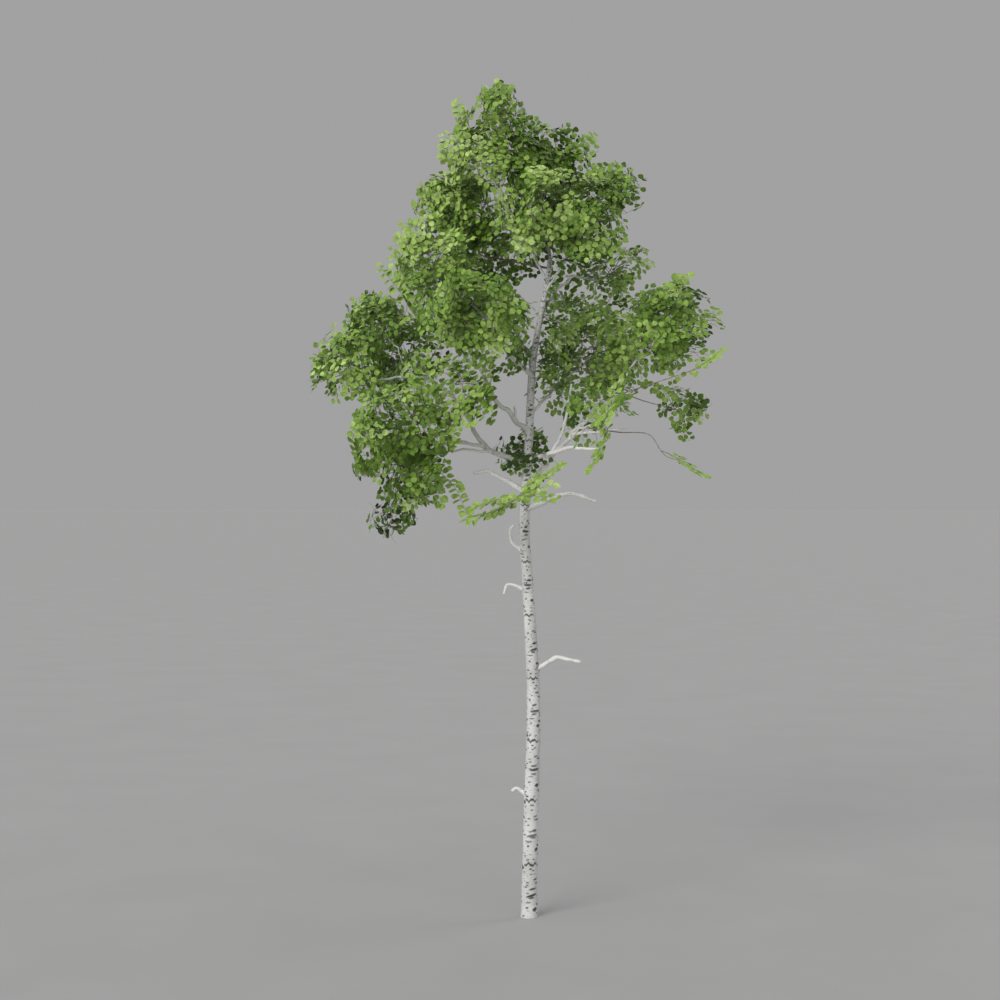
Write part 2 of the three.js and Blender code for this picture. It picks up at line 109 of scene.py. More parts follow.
# The one dead limb with a side twig, and that twig's measures
SPURRED = "dead_right_far"
SPUR_SHARES = (0.35, 0.85)
SPUR_LENGTHS = (0.07, 0.16)
SPUR_LEAN = 52
SPUR_BEND = 0.6
SPUR_RISE = 0.25
SPUR_GIRTH = 0.4
SPUR_TAPER = 0.45
SPUR_SIDES = 7
SPUR_WAVER = 0.01
FIRST_SEED = 7
SEED_STEP = 13

# Stems, twigs and sprays by the source's rule
DIRECT_STEM_RADIUS = 0.013
STEM_TIP_RADIUS = 0.004
STEM_END = 0.35
STEM_TESTS = 41
TWIG_ROOT_RADIUS = 0.0045
TWIG_TIP_RADIUS = 0.0022
TWIG_END_RADIUS = 0.001
# Rings and sides of each kind of thin tube
TUBES = {
    "stem": (14, 8), "thin_bough": (60, 8), "twig": (7, 5), "frond": (6, 4), "row": (9, 5),
    "trail": (16, 5), "spray": (4, 3),
}
TWIG_LEAN = 64
TWIG_LEAN_JITTER = 16
TWIG_TURN_JITTER = 25
TWIG_LEAST = 0.07
TWIG_REACHES = (0.6, 0.86)
SPACE_PER_TWIG = 0.47
FEWEST_TWIGS = 5
GOLDEN_TURN = 137.5
SPRAYS_PER_TWIG = 5
SPRAY_LENGTH = 0.29
SPRAY_MOST_OF_SPACE = 0.8
SPRAY_SIZES = (1, 0.82, 0.66, 0.5, 0.36)
SPRAY_SIZE_SPREAD = 0.15
SPRAY_LEAN = 78
SPRAY_LEAN_JITTER = 20
SPRAY_TURN_JITTER = 8
SPRAY_WIDTH_TESTS = (-0.25, 0, 0.25)
SPRIG_SIZES = (1, 0.8, 0.62)
CLEARANCE = 0.001
LEAF_SEED = 9000

# How far past its space a mass lets its leaves reach, and how far past the solids' box the crown may
SWELL = 1.3
TIGHT = {
    "top": 1.02, "right_back": 1.1, "left_trail": 0.9, "left_far": 1.12, "left_far_high": 1.12,
    "upper_left": 1.1, "upper_right": 1.12, "top_right": 1.12, "left_low": 1.08, "left_shoulder": 1.15,
    "back_low": 1.1,
}
BOX_MARGIN = (0.03, 0.03, 0.1)

# The fan of sprays at a twig's tip: how far it turns to the light, and the sprays on the way there
TO_LIGHT = np.array([-0.35, -0.7, 0.62])
FACING = 0.5
FACING_MORE = {"right_inner": 1.5, "back_right": 1.5, "back_low": 1.2, "right_back": 1.2}
FAN_TILT = 0.75
FAN_LEAST = 0.7
TWIG_WAVER = 0.06
TWIG_ARCH = 0.03
SIDE_SPRAYS = 3
SIDE_SHARES = (0.35, 0.85)
SIDE_LEAN = 58
SIDE_LEAN_JITTER = 10
SIDE_TURN_JITTER = 40
SIDE_LENGTH = 0.26
SPRAY_SHORTEST = 0.7
SPRAY_REACH = 0.72
SPRAY_SAG = 0.05
SPRAY_ARCH = 0.04
SPRAY_ROLL = 20

# Tints from dark to light, the steps of painted light of each mass (painted shade below 0), and the rise of
# painted light from a mass's painted-shade middle to its edge
TINTS = [(59, 83, 26), (81, 111, 36), (107, 140, 52), (132, 165, 71), (153, 182, 92), (171, 196, 114)]
# Painted light: steps of tint that lighten masses lying in shade, and painted shade (below 0) for masses
# that stand behind
PAINTED_LIGHT_STEPS = {
    "right_inner": 1.2, "back_right": 1, "right_back": 0.3, "front_low": 1.4, "left_inner": 0.6,
    "top_left": 1.3, "top": 0.8, "upper_front": 1.2, "left_far_high": 1, "left_far": 0.5,
    "left_shoulder": 1.1, "upper_left": 0.9, "top_right": -0.2, "left_trail": -1.8, "upper_right": 0.6,
    "right_far": 0.3, "left_low": 0.2, "left_droop": 0.2, "fork_right": 0.6, "fork_left": 0.3,
    "right_low": 0.4,
}
MIDDLE_TINT = 2.1
PAINTED_EDGE_LIGHT = 0.9
TINT_FARTHEST = 1.2
TINT_JITTER = 1
ROW_TINT = 4

# Finer twigs for each of the source's twigs: more in a fuller mass. One less full than 1 has fewer, and
# keeps only that share of its sprays.
FINER_TWIGS = 1.5
FINER_REACHES = (0.45, 0.95)
FINER_SEED = 5000
FULLNESS = {
    "upper_left": 1.3, "right_inner": 1.2, "right_far": 1.1, "right_back": 0.6, "left_trail": 0.45,
    "back_low": 0.55, "back_right": 0.9, "top": 0.6, "left_low": 0.85,
}
EDGE = 0.92
EDGE_KEPT = 0.7
# Gaps where the photo shows sky or bare wood: the middle and half-sizes of each
GAPS = [
    ((-0.19, -0.3, 5.53), (0.17, 1.4, 0.34)),
    ((1.14, 0.3, 7.5), (0.22, 1.2, 0.25)),
    ((1.0, 0.3, 6.68), (0.13, 1.2, 0.12)),
    ((1.28, 0.5, 7.25), (0.1, 0.9, 0.14)),
    ((-1.8, -0.4, 4.6), (0.2, 0.8, 0.2)),
    ((-1.27, 0, 6.53), (0.1, 0.8, 0.1)),
    ((-0.52, 1.17, 5.15), (0.24, 0.7, 0.5)),
    ((-0.3, 1.17, 5.36), (0.26, 0.7, 0.17)),
    ((0.57, -0.8, 5.2), (0.15, 0.5, 0.12)),
    ((-0.05, -0.3, 6.7), (0.15, 1.2, 0.25)),
    ((0.1, -0.55, 6.35), (0.12, 0.6, 0.38)),
    ((0.21, -0.55, 6.96), (0.11, 0.6, 0.32)),
    ((1.83, -0.3, 6.09), (0.12, 0.6, 0.14)),
    ((1.2, 0, 5.88), (0.15, 0.8, 0.1)),
]

# Twigs outside the masses: past the bare share of each bough, and round the leader
BOUGH_BARE = 0.6
BARE = {
    "right_inner": 0.12, "right_far": 0.4, "left_trail": 1, "right_back": 1, "left_droop": 0.15,
    "left_shoulder": 0.55, "top_left": 0.35, "left_far": 0.66,
}
BOUGH_TWIG_STEP = 0.2
BOUGH_TWIG_LENGTH = 0.26
BOUGH_TWIG_LEAN = 62
FREE_SHORTEST = 0.6
FREE_TURN_JITTER = 30
LEADER_FIRST = 6.98
LEADER_TWIGS = 24
LEADER_TWIG_LENGTH = 0.44
LEADER_LAST_LENGTH = 0.5
LEADER_LEAN = 56
LEADER_SEED = 4000
# Sprouts of the trunk: height, turn and length. The low ones are in deep shade, painted as greens darker by
# SHADE_STEPS.
SPROUTS = [
    (4.88, 200, 0.1), (4.98, -90, 0.05), (5.75, 25, 0.26), (5.9, -5, 0.3), (5.93, 170, 0.2),
    (6.02, 40, 0.26), (6.08, 205, 0.2), (6.15, 10, 0.3), (6.28, -15, 0.26), (6.42, 50, 0.28),
    (6.56, 10, 0.24),
]
SHADE_BELOW = 5.5
SHADE_STEPS = 3

# Flat fronds: the way that the plane's upper side looks, that of the leaves, twig lean, roll and step
FRONDS = {
    "front_low": ((-0.5, 0, 0.86), (-0.4, -0.52, 0.75), 68, 30, 0.085),
    "right_low": ((-0.86, 0, 0.48), (-0.72, -0.48, 0.5), 72, 24, 0.05),
    "left_inner": ((-0.4, -0.8, 0.45), (-0.44, -0.54, 0.72), 78, 45, 0.019),
}
FROND_FEWEST = 5
FROND_LEAN_JITTER = 8
FROND_ARCH = 0.05
FROND_SAG = 0.04
FROND_TWIG_GIRTH = 0.8
FROND_BARE = 0.12
FROND_LEAF_STEP = 0.047
FROND_LEAF_SIZE = 1.25
# Single rows of leaves along a mass's own stem: the way that the leaves look and the lift of the row's end
ROWS = {
    "right_tip": ((-0.42, -0.42, 0.8), 0.1),
    "right_trail": ((0.45, -0.42, 0.79), -0.12),
}
ROW_REACH = 0.9
ROW_BARE = 0.2
ROW_LEAF_STEP = 0.032
ROW_LEAF_SIZE = 1.4
ROW_FEWEST = 3
ROW_LEAF_LEANS = (62, 38)
ROW_STALK = 0.3
# Twigs that trail from a mass: its name, the share of its stem, the way that the leaves look and the path
TRAILS = [
    (
        "left_droop", 0.1, (-0.3, -0.62, 0.72),
        [(-1, -0.36, 4.84), (-0.79, -0.42, 4.63), (-0.655, -0.45, 4.34)],
    ),
    (
        "left_low", 0.6, (0.6, -0.5, 0.62),
        [(-1.7, -0.66, 5.3), (-1.86, -0.64, 5.13), (-1.83, -0.62, 4.97), (-1.76, -0.6, 4.82)],
    ),
    ("left_far_high", 0.1, TO_LIGHT, [(-1.32, 0.1, 6.6), (-1.45, 0.05, 6.82), (-1.6, 0, 7.02)]),
    ("top_left", 0.5, TO_LIGHT, [(-0.64, -0.2, 8.25), (-0.72, -0.2, 8.51), (-0.775, -0.2, 8.75)]),
    ("top_right", 0.5, (0.35, -0.7, 0.62), [(0.35, 0.33, 8.24), (0.56, 0.33, 8.4), (0.7, 0.3, 8.51)]),
    ("right_far", 0.5, (0.2, -0.75, 0.62), [(1.39, -0.3, 6.63), (1.52, -0.32, 6.81), (1.66, -0.34, 6.88)]),
    ("left_low", 0.2, TO_LIGHT, [(-0.98, -0.55, 5.4), (-0.87, -0.5, 5.22), (-0.86, -0.48, 5.03)]),
    ("left_droop", 0.3, TO_LIGHT, [(-1.08, -0.4, 4.74), (-0.98, -0.42, 4.6), (-0.94, -0.44, 4.48)]),
    (
        "front_low", 0.5, (-0.41, -0.48, 0.78),
        [(-0.28, -0.75, 4.42), (-0.45, -0.8, 4.36), (-0.63, -0.8, 4.31)],
    ),
    ("front_low", 0.1, (-0.4, -0.52, 0.75), [(0.03, -0.6, 4.66), (0.17, -0.7, 4.77), (0.29, -0.74, 4.83)]),
    ("right_back", 0.3, (-0.2, -0.8, 0.5), [(1.58, 1.05, 5.7), (1.5, 1.0, 5.77), (1.4, 0.98, 5.8)]),
    (
        "left_inner", 0.05, (-0.35, -0.5, 0.7),
        [(-0.5, -0.5, 5.64), (-0.41, -0.52, 5.52), (-0.38, -0.52, 5.36)],
    ),
    ("left_inner", 0.2, (-0.35, -0.5, 0.7), [(-0.74, -0.6, 5.42), (-0.8, -0.6, 5.26), (-0.78, -0.6, 5.08)]),
    ("right_low", 0.35, (-0.72, -0.48, 0.5), [(0.8, -0.8, 5.23), (0.73, -0.82, 5.02), (0.645, -0.82, 4.84)]),
]

# Leaves: the margin and midrib as shares of the length, and the fold and camber of each form
LEAF_LENGTH = 0.061
LEAF_LENGTH_SPREAD = 0.008
LEAF_TILT = 20
LEAF_LIMB_GAP = 0.012
LEAF_TIP = 1.05
LEAF_MARGIN = [(0.02, 0.2), (0.19, 0.44), (0.46, 0.5), (0.73, 0.37), (0.92, 0.14)]
LEAF_MIDRIB = (0.34, 0.7)
LEAF_FORMS = [(0.1, 0.1), (0.2, 0.2), (-0.06, 0.05), (0.16, -0.08)]
ROSETTE_LEAVES = 6
ROSETTE_FEWER = 1.6
ROSETTE_TURN_JITTER = 12
PETIOLE = 0.66
PETIOLE_ENDS = ((-PETIOLE, 0.06, 0.016), (0.01, 0, 0.013))
PETIOLE_CORNERS = (0.5, 2.6, 4.7)

# Masses: name, turn, out, up, wide, tall, root, share of that root's length or height on the trunk, bow.
# A bow of None is a mass whose stem leaves the trunk itself.
MASSES = [
    ("top", 180, 0.31, 8.72, 0.28, 0.33, "trunk", TRUNK_TOP, None),
    ("top_left", 202, 0.55, 8.19, 0.44, 0.46, "trunk", 6.85, 0),
    ("top_right", 50, 0.43, 8.21, 0.46, 0.45, "trunk", 7.75, None),
    ("upper_front", 285, 0.53, 7.56, 0.54, 0.49, "trunk", 7.25, None),
    ("upper_right", 3, 0.86, 7.81, 0.38, 0.36, "trunk", 7.35, 0.03),
    ("upper_left", 163, 0.75, 7.68, 0.54, 0.48, "trunk", 7.2, 0.04),
    ("fork_right", 320, 0.72, 7.33, 0.44, 0.36, "trunk", 6.74, 0.02),
    ("fork_left", 130, 0.7, 7.2, 0.54, 0.48, "trunk", 7.0, None),
    ("left_inner", 220, 0.85, 5.69, 0.44, 0.44, "trunk", 5.235, 0),
    ("left_shoulder", 202, 1.1, 7.06, 0.48, 0.43, "left_inner", 0.86, 0),
    ("back_right", 47, 1.34, 7.1, 0.48, 0.38, "trunk", 6.54, 0),
    ("back_left", 122, 1.68, 6.83, 0.52, 0.48, "trunk", 6.05, 0.04),
    ("left_front", 244, 1.18, 6.39, 0.66, 0.46, "trunk", 5.85, 0),
    ("left_far", 187, 1.91, 5.94, 0.45, 0.44, "trunk", 4.905, 0),
    ("left_far_high", 169, 1.67, 6.46, 0.4, 0.34, "left_far", 0.8, 0),
    ("left_back", 151, 1.62, 6.13, 0.54, 0.45, "left_far", 0.68, 0),
    ("left_low", 207, 1.5, 5.33, 0.6, 0.4, "left_far", 0.54, 0.06),
    ("left_droop", 197, 1.41, 4.82, 0.56, 0.38, "left_far", 0.74, 0.07),
    ("left_trail", 165, 1.56, 4.32, 0.34, 0.25, "left_droop", 0.6, 0.06),
    ("right_inner", 48, 1.07, 6.13, 0.54, 0.79, "trunk", 5.42, 0.02),
    ("right_far", 347, 1.43, 6.33, 0.6, 0.53, "trunk", 4.62, 0),
    ("right_low", 312, 1.13, 5.4, 0.44, 0.48, "right_far", 0.3, 0.03),
    ("right_tip", 333, 1.96, 5.86, 0.28, 0.19, "right_far", 0.7, 0.02),
    ("right_back", 32, 2.05, 5.52, 0.34, 0.31, "right_far", 0.76, 0.06),
    ("right_trail", 340, 1.66, 4.96, 0.3, 0.18, "right_low", 0.9, 0),
    ("front_low", 258, 0.9, 4.53, 0.52, 0.34, "trunk", 4.5, None),
    ("back_low", 97, 1.18, 5.1, 0.44, 0.3, "trunk", 4.99, None),
]

# Boughs that are thicker or thinner than their length asks, and those with bends of their own: the lift at
# shares of the way, the end included
GIRTH = {
    "top_left": 0.75, "left_inner": 1.9, "left_front": 1.4, "left_trail": 0.6, "right_tip": 0.4,
    "right_back": 0.4, "right_trail": 0.4,
}
BENDS = {
    "left_inner": [(0.35, 0.02), (0.75, 0.075), (1, 0.09)],
    "left_shoulder": [(0.12, 0.02), (0.3, -0.06), (0.6, -0.26), (1, -0.22)],
    "back_right": [(0.3, 0.13), (0.62, 0.16), (1, 0)],
    "left_front": [(0.35, -0.04), (0.7, -0.06), (1, 0)],
    "left_far": [(0.17, -0.07), (0.28, -0.085), (0.46, 0.22), (0.67, 0.3), (1, 0)],
    "right_far": [(0.3, 0), (0.6, -0.03), (1, -0.06)],
    "right_trail": [(0.45, 0.06), (0.85, 0.13), (1, 0)],
}

# Dead limbs: name, turn, root, share or height, reach, rise, drop, elbow, foot radius
DEAD_LIMBS = [
    ("dead_right_long", 356, "trunk", 4.395, 0.77, 0.185, 0.095, 0.6, 0.026),
    ("dead_left_long", 186, "trunk", 4.59, 0.56, 0.225, 0.03, 0.72, 0.026),
    ("dead_right_mid", 325, "trunk", 4.93, 0.92, 0.128, 0.031, 0.58, 0.022),
    ("dead_left_mid", 187, "left_far", 0.25, 0.57, 0.054, 0.14, 0.64, 0.018),
    ("dead_left_low", 205, "left_far", 0.2, 0.48, 0.016, 0.032, 0.79, 0.016),
    ("dead_right_up", 330, "right_far", 0.2, 0.3, 0.365, -0.48, 0.69, 0.017),
    ("dead_right_far", 350, "right_far", 0.43, 0.6, 0.03, -0.02, 0.6, 0.015),
    ("stub_left_up", 184, "trunk", 3.92, 0.17, 0.13, -0.13, 0.9, 0.021),
    ("stub_left_hook", 176, "trunk", 3.52, 0.265, 0.078, 0.116, 0.84, 0.019),
    ("stub_right", 352, "trunk", 2.66, 0.525, 0.145, 0.048, 0.52, 0.025),
    ("stub_left_foot", 172, "trunk", 1.29, 0.215, 0.1, 0.04, 0.72, 0.024),
]
# Small stubs on the boughs, in the same form
SMALL_STUBS = [
    ("inner", 200, "left_inner", 0.32, 0.02, 0.08, -0.07, 0.5, 0.016),
    ("hanging", 200, "left_far", 0.14, 0.035, -0.05, 0.075, 0.7, 0.012),
]

# Swellings of the trunk: count round it, height of a wave and size as a share of the radius
TRUNK_WAVES = ((2, 1.4, 0.022), (3, 0.62, 0.014), (5, 0.21, 0.01), (9, 0.07, 0.006))
# Bark marks come in runs: for each, its height and turn from the run's middle, half length, half height
RUN_DASHES = [
    (0.1, -30, 0.012, 0.006), (0.058, 12, 0.026, 0.01), (0.028, -14, 0.014, 0.006), (0, 8, 0.045, 0.0125),
    (-0.04, 3, 0.027, 0.009), (-0.07, -20, 0.03, 0.006), (-0.135, -28, 0.011, 0.008),
    (-0.2, 60, 0.012, 0.006), (-0.235, -50, 0.016, 0.006), (-0.27, -35, 0.014, 0.008),
    (-0.27, 18, 0.012, 0.006), (-0.375, -2, 0.012, 0.007), (-0.385, 16, 0.012, 0.007),
    (-0.42, -3, 0.012, 0.006), (-0.48, 28, 0.022, 0.008), (-0.515, -22, 0.013, 0.006),
    (-0.515, 48, 0.02, 0.007), (-0.555, -45, 0.013, 0.006),
]
RUN_EYE = (-0.16, 40)
RUN_BAND = (-0.32, -8)
RUN_FIRST = 0.25
RUN_STEP = 0.67
RUN_STEP_SHARES = (0.85, 1.15)
RUN_TURNS = (-90, 30, 150)
RUN_TURN_JITTER = 12
RUN_RADIUS = 0.08
RUN_LARGEST = 1.1
DASH_LENGTH = 1.45
DASH_LENGTH_SHARES = (0.85, 1.2)
DASH_HEIGHT = 1.4
DASH_UP_JITTER = 0.012
DASH_TURN_JITTER = 8
DASH_SLOPE = 0.12
DASH_SLOPE_JITTER = 0.15
DASH_TONES = (0.75, 1)
EYE_WIDTH = 0.034
EYE_HEIGHT = 0.025
EYE_SIZES = (0.8, 1.15)
EYE_SQUARENESS = 1.4
BAND_HEIGHT = 0.018
BAND_REACHES = (0.9, 1.2)
# Small dashes between the runs, for each metre of the trunk
SMALL_DASHES = 26
SMALL_DASH_LENGTHS = (0.008, 0.02)
SMALL_DASH_HEIGHTS = (0.004, 0.0065)
SMALL_DASH_TONES = (0.4, 0.8)
SMALL_DASH_TOP = 8.3
MARK_SEED = 31

# Colours of wood: pale, warm and dark. The boughs' and dead limbs' colours are painted lighter than the
# trunk's, as painted light against the crown's shade on them.
BARKS = {
    "trunk_bark": ((223, 223, 222), (198, 197, 195), (60, 59, 58)),
    "bough_bark": ((232, 231, 229), (204, 202, 198), (92, 90, 86)),
    "dead_wood": ((242, 241, 239), (222, 220, 216), (132, 130, 126)),
}
TWIG_TONES = ((108, 98, 82), (160, 154, 142))
BLACK, WHITE = (0, 0, 0), (255, 255, 255)

# Stage: suns have a name, the way that the light goes, power, spread and colour
FLOOR_TONE = np.array([179, 179, 179])
FLOOR_RADIUS = 900
FLOOR_SIDES = 96
WORLD_TONE = (0.36, 0.36, 0.36, 1)
SUNS = [
    ("key", (0.5, 0.74, -0.44), 1.4, 35, (1, 0.99, 0.97)),
    ("fill", (0.46, 0.88, 0.08), 1.2, 60, (1, 1, 1)),
    ("top", (0.1, 0.15, -1), 0.45, 90, (1, 1, 1)),
    ("rim", (-0.75, -0.4, -0.35), 0.45, 30, (0.97, 0.99, 1)),
]
CAMERA_PLACE = (-0.313, -19.5, 4.5)
CAMERA_LENS = 65
CAMERA_SENSOR = 36
CAMERA_FARTHEST = 2000

UP = np.array([0.0, 0.0, 1.0])
BOX_LOW = np.array(cad_low) - BOX_MARGIN
BOX_HIGH = np.array(cad_high) + BOX_MARGIN
WORD = 0xFFFFFFFF


# Small vector tools
def unit(vector):
    return vector / norm(vector)


def heading(turn):
    return np.array([cos(radians(turn)), sin(radians(turn)), 0.0])


def side_of(axis):
    side = np.cross(UP, axis)
    if side @ side < 0.01:
        side = np.cross((1.0, 0.0, 0.0), axis)
    return unit(side)


def lean_to(axis, side, lean):
    return axis * cos(lean) + side * sin(lean)


def spin(vector, axis, angle):
    turned = vector * cos(angle) + np.cross(axis, vector) * sin(angle)
    return turned + axis * (axis @ vector) * (1 - cos(angle))


def lerp(low, high, share):
    return low + (high - low) * share


# Seeded random numbers from 0 to 1, as in the part's source
def random_from(seed):
    state = seed

    def draw():
        nonlocal state
        state = (state + 0x6D2B79F5) & WORD
        mixed = ((state ^ (state >> 15)) * (state | 1)) & WORD
        other = ((mixed ^ (mixed >> 7)) * (mixed | 61)) & WORD
        mixed ^= (mixed + other) & WORD
        return (mixed ^ (mixed >> 14)) / 4294967296

    return draw


def swing(draw, size):
    return size * (2 * draw() - 1)


def random_way(draw):
    height, turn = 2 * draw() - 1, 2 * pi * draw()
    level = sqrt(1 - height * height)
    return np.array([level * cos(turn), level * sin(turn), height])


class Line:
    """A line of close points that is read by the share of its length."""

    def __init__(self, points):
        self.points = np.array(points, float)
        marks = np.concatenate([[0.0], np.cumsum(norm(np.diff(self.points, axis=0), axis=1))])
        self.length = marks[-1]
        self.marks = marks / self.length

    def at(self, share):
        return np.stack([np.interp(share, self.marks, self.points[:, k]) for k in range(3)], axis=-1)

    def ahead(self, share):
        return unit(self.at(min(share + AHEAD_STEP, 1)) - self.at(max(share - AHEAD_STEP, 0)))


def smooth_line(points):
    """A centripetal Catmull-Rom line through the points."""
    points = np.array(points, float)
    padded = np.vstack([2 * points[0] - points[1], points, 2 * points[-1] - points[-2]])
    w = np.linspace(0, 1, LINE_STEPS, endpoint=False)[:, None]
    made = []
    for p0, p1, p2, p3 in zip(padded, padded[1:], padded[2:], padded[3:]):
        d0, d1, d2 = (sqrt(norm(b - a)) for a, b in ((p0, p1), (p1, p2), (p2, p3)))
        t1 = ((p1 - p0) / d0 - (p2 - p0) / (d0 + d1) + (p2 - p1) / d1) * d1
        t2 = ((p2 - p1) / d1 - (p3 - p1) / (d1 + d2) + (p3 - p2) / d2) * d1
        made.append(p1 + t1 * w + (3 * (p2 - p1) - 2 * t1 - t2) * w**2 + (2 * (p1 - p2) + t1 + t2) * w**3)
    return Line(np.vstack([*made, points[-1:]]))


def bezier_line(start, bend, end):
    t = np.linspace(0, 1, LINE_STEPS)[:, None]
    return Line(start * (1 - t) ** 2 + bend * 2 * t * (1 - t) + end * t**2)


def joined_line(bough, stem):
    return Line(np.vstack([bough.line.points, stem.line.points[1:]]))


# Meshes from arrays
class Pile:
    """Points and triangles of many small forms that become one piece."""

    def __init__(self):
        self.points = []
        self.faces = []
        self.count = 0

    def add(self, points, faces):
        self.points.append(points)
        self.faces.append(faces + self.count)
        self.count += len(points)


def put(name, data):
    thing = bpy.data.objects.new(name, data)
    bpy.context.scene.collection.objects.link(thing)
    return thing


def make_piece(name, points, faces, material, nodes):
    mesh = bpy.data.meshes.new(name)
    mesh.from_pydata(points, [], faces)
    mesh.shade_smooth()
    mesh.materials.append(material)
    piece = put(name, mesh)
    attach(piece, "root")
    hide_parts(*nodes)
    return piece


def pile_piece(name, pile, material, nodes):
    make_piece(name, np.vstack(pile.points), np.vstack(pile.faces), material, nodes)


def ring_faces(rings, sides):
    """Walls between rings of corners, and caps to the two middle points that follow them."""
    here = np.arange(sides)
    after = (here + 1) % sides
    low = np.arange(rings - 1)[:, None] * sides
    a, b = low + here, low + after
    c, d = b + sides, a + sides
    walls = [np.stack(corners, -1).reshape(-1, 3) for corners in ((a, b, c), (a, c, d))]
    middle, top = rings * sides, (rings - 1) * sides
    foot_cap = np.stack([np.full(sides, middle), after, here], -1)
    tip_cap = np.stack([np.full(sides, middle + 1), top + here, top + after], -1)
    return np.vstack([*walls, foot_cap, tip_cap])


def tube(points, radii, sides):
    """A closed tube along points, with one radius for each point or one for each corner."""
    ways = np.gradient(points, axis=0)
    ways /= norm(ways, axis=1)[:, None]
    normal = side_of(ways[0])
    normals = []
    for way in ways:
        normal = unit(normal - way * (normal @ way))
        normals.append(normal)
    normals = np.array(normals)
    across = np.cross(ways, normals)
    turns = np.linspace(0, 2 * pi, sides, endpoint=False)[None, :, None]
    ring = normals[:, None] * np.cos(turns) + across[:, None] * np.sin(turns)
    corners = points[:, None] + ring * radii.reshape(len(points), -1)[:, :, None]
    made = np.vstack([corners.reshape(-1, 3), points[:1], points[-1:]])
    return made, ring_faces(len(points), sides)


def add_wood(kind, line, foot, tip):
    rings, sides = TUBES[kind]
    shares = np.linspace(0, 1, rings)
    twig_wood.add(*tube(line.at(shares), lerp(foot, tip, shares), sides))


# Trunk line and limbs by the source's rule
def trunk_radius(height):
    taper = 1 - TRUNK_TAPER * (height / TRUNK_TOP) ** TRUNK_TAPER_POWER
    return TRUNK_FOOT_RADIUS * taper + FLARE * np.exp(-height / FLARE_HEIGHT)


class Limb:
    """A line with a radius that goes evenly from its foot to its tip."""

    def __init__(self, line, foot, tip):
        self.line = line
        self.foot = foot
        self.tip = tip

    def radius_at(self, share):
        return lerp(self.foot, self.tip, share)


class Trunk(Limb):
    def radius_at(self, share):
        return trunk_radius(self.line.at(share)[..., 2])


trunk_line = smooth_line(TRUNK_PATH)
trunk = Trunk(trunk_line, trunk_radius(0), trunk_radius(TRUNK_TOP))
limbs = {"trunk": trunk}


def trunk_share(height):
    return np.interp(height, trunk_line.points[:, 2], trunk_line.marks)


def root_of(parent_name, place):
    parent = limbs[parent_name]
    share = trunk_share(place) if parent is trunk else place
    return parent.line.at(share), parent.radius_at(share)


class Mass:
    """The space of a mass of leaves, its stem and the tests that keep its sprays inside."""

    def __init__(self, row, index):
        self.name, turn, out, up, wide, tall, self.root, self.place, self.bow = row
        self.middle = heading(turn) * out + UP * up
        self.half = np.array([wide, wide, tall])
        self.size = (wide * wide * tall) ** (1 / 3)
        self.seed = FIRST_SEED + SEED_STEP * index
        self.swell = TIGHT.get(self.name, SWELL)
        self.girth = GIRTH.get(self.name, 1)
        self.facing = FACING_MORE.get(self.name, FACING)
        self.painted_light = PAINTED_LIGHT_STEPS.get(self.name, 0)
        self.fullness = FULLNESS.get(self.name, 1)

    def room_along(self, start, way):
        s, w = (start - self.middle) / self.half, way / self.half
        a, b, c = w @ w, s @ w, s @ s - 1
        inside = b * b - a * c
        return 0.0 if inside <= 0 else (-b + sqrt(inside)) / a

    def set_walls(self):
        others = [other for other in masses if other is not self]
        gaps = np.array([other.middle - self.middle for other in others])
        shares = np.array([self.size / (self.size + other.size) for other in others])
        self.normals = gaps / norm(gaps, axis=1)[:, None]
        walls = self.middle + gaps * shares[:, None]
        self.limits = (walls * self.normals).sum(1) - CLEARANCE

    def depth(self, points):
        """From 0 at the middle to 1 at the edge of the space and on."""
        return norm((points - self.middle) / self.half, axis=-1)

    def nearly_holds(self, points):
        return (self.depth(points) <= self.swell).all()

    def holds(self, points):
        points = np.atleast_2d(points)
        return (self.depth(points) <= 1).all() and (points @ self.normals.T < self.limits).all()


class Outside:
    """Takes the place of a mass for twigs that grow outside all of them."""

    facing = FACING
    painted_light = 0
    fullness = 1

    def depth(self, points):
        return 0

    def nearly_holds(self, points):
        return True


def make_bough(mass):
    root, parent_radius = root_of(mass.root, mass.place)
    inward = unit(root - mass.middle)
    entry = mass.middle + inward * BOUGH_ENTRY * mass.room_along(mass.middle, inward)
    draw = random_from(mass.seed)
    crook = BOUGH_CROOK * norm(root - entry)
    drawn = []
    for share in BOUGH_CROOK_SHARES:
        lift = 2 * mass.bow * share * (1 - share) + swing(draw, crook / 2)
        drawn.append((share, lift, swing(draw, crook)))
    own = [(share, lift, 0) for share, lift in BENDS.get(mass.name, [])]
    points = [root]
    for share, lift, swerve in own or [*drawn, (1, 0, 0)]:
        points.append(lerp(root, entry, share) + UP * lift + side_of(inward) * swerve)
    line = smooth_line(points)
    wanted = mass.girth * (BOUGH_FOOT_RADIUS + BOUGH_RADIUS_PER_LENGTH * line.length)
    foot = min(wanted, BOUGH_MOST_OF_PARENT * parent_radius)
    return Limb(line, foot, min(mass.girth * BOUGH_TIP_RADIUS, BOUGH_LEAST_TAPER * foot))


def make_stem(mass):
    bough = trunk if mass.place == TRUNK_TOP else limbs.get(mass.name)
    start = bough.line.at(1.0) if bough else root_of(mass.root, mass.place)[0]
    ahead = bough.line.ahead(1.0) if bough else unit(mass.middle - start)
    if bough is trunk:
        ahead = UP
    outward = unit(mass.middle - start)
    end = mass.middle + outward * STEM_END * mass.room_along(mass.middle, outward)
    line = bezier_line(start, start + ahead * norm(start - end) / 2, end)
    foot = bough.tip if bough else DIRECT_STEM_RADIUS
    return Limb(line, foot, min(foot, STEM_TIP_RADIUS))


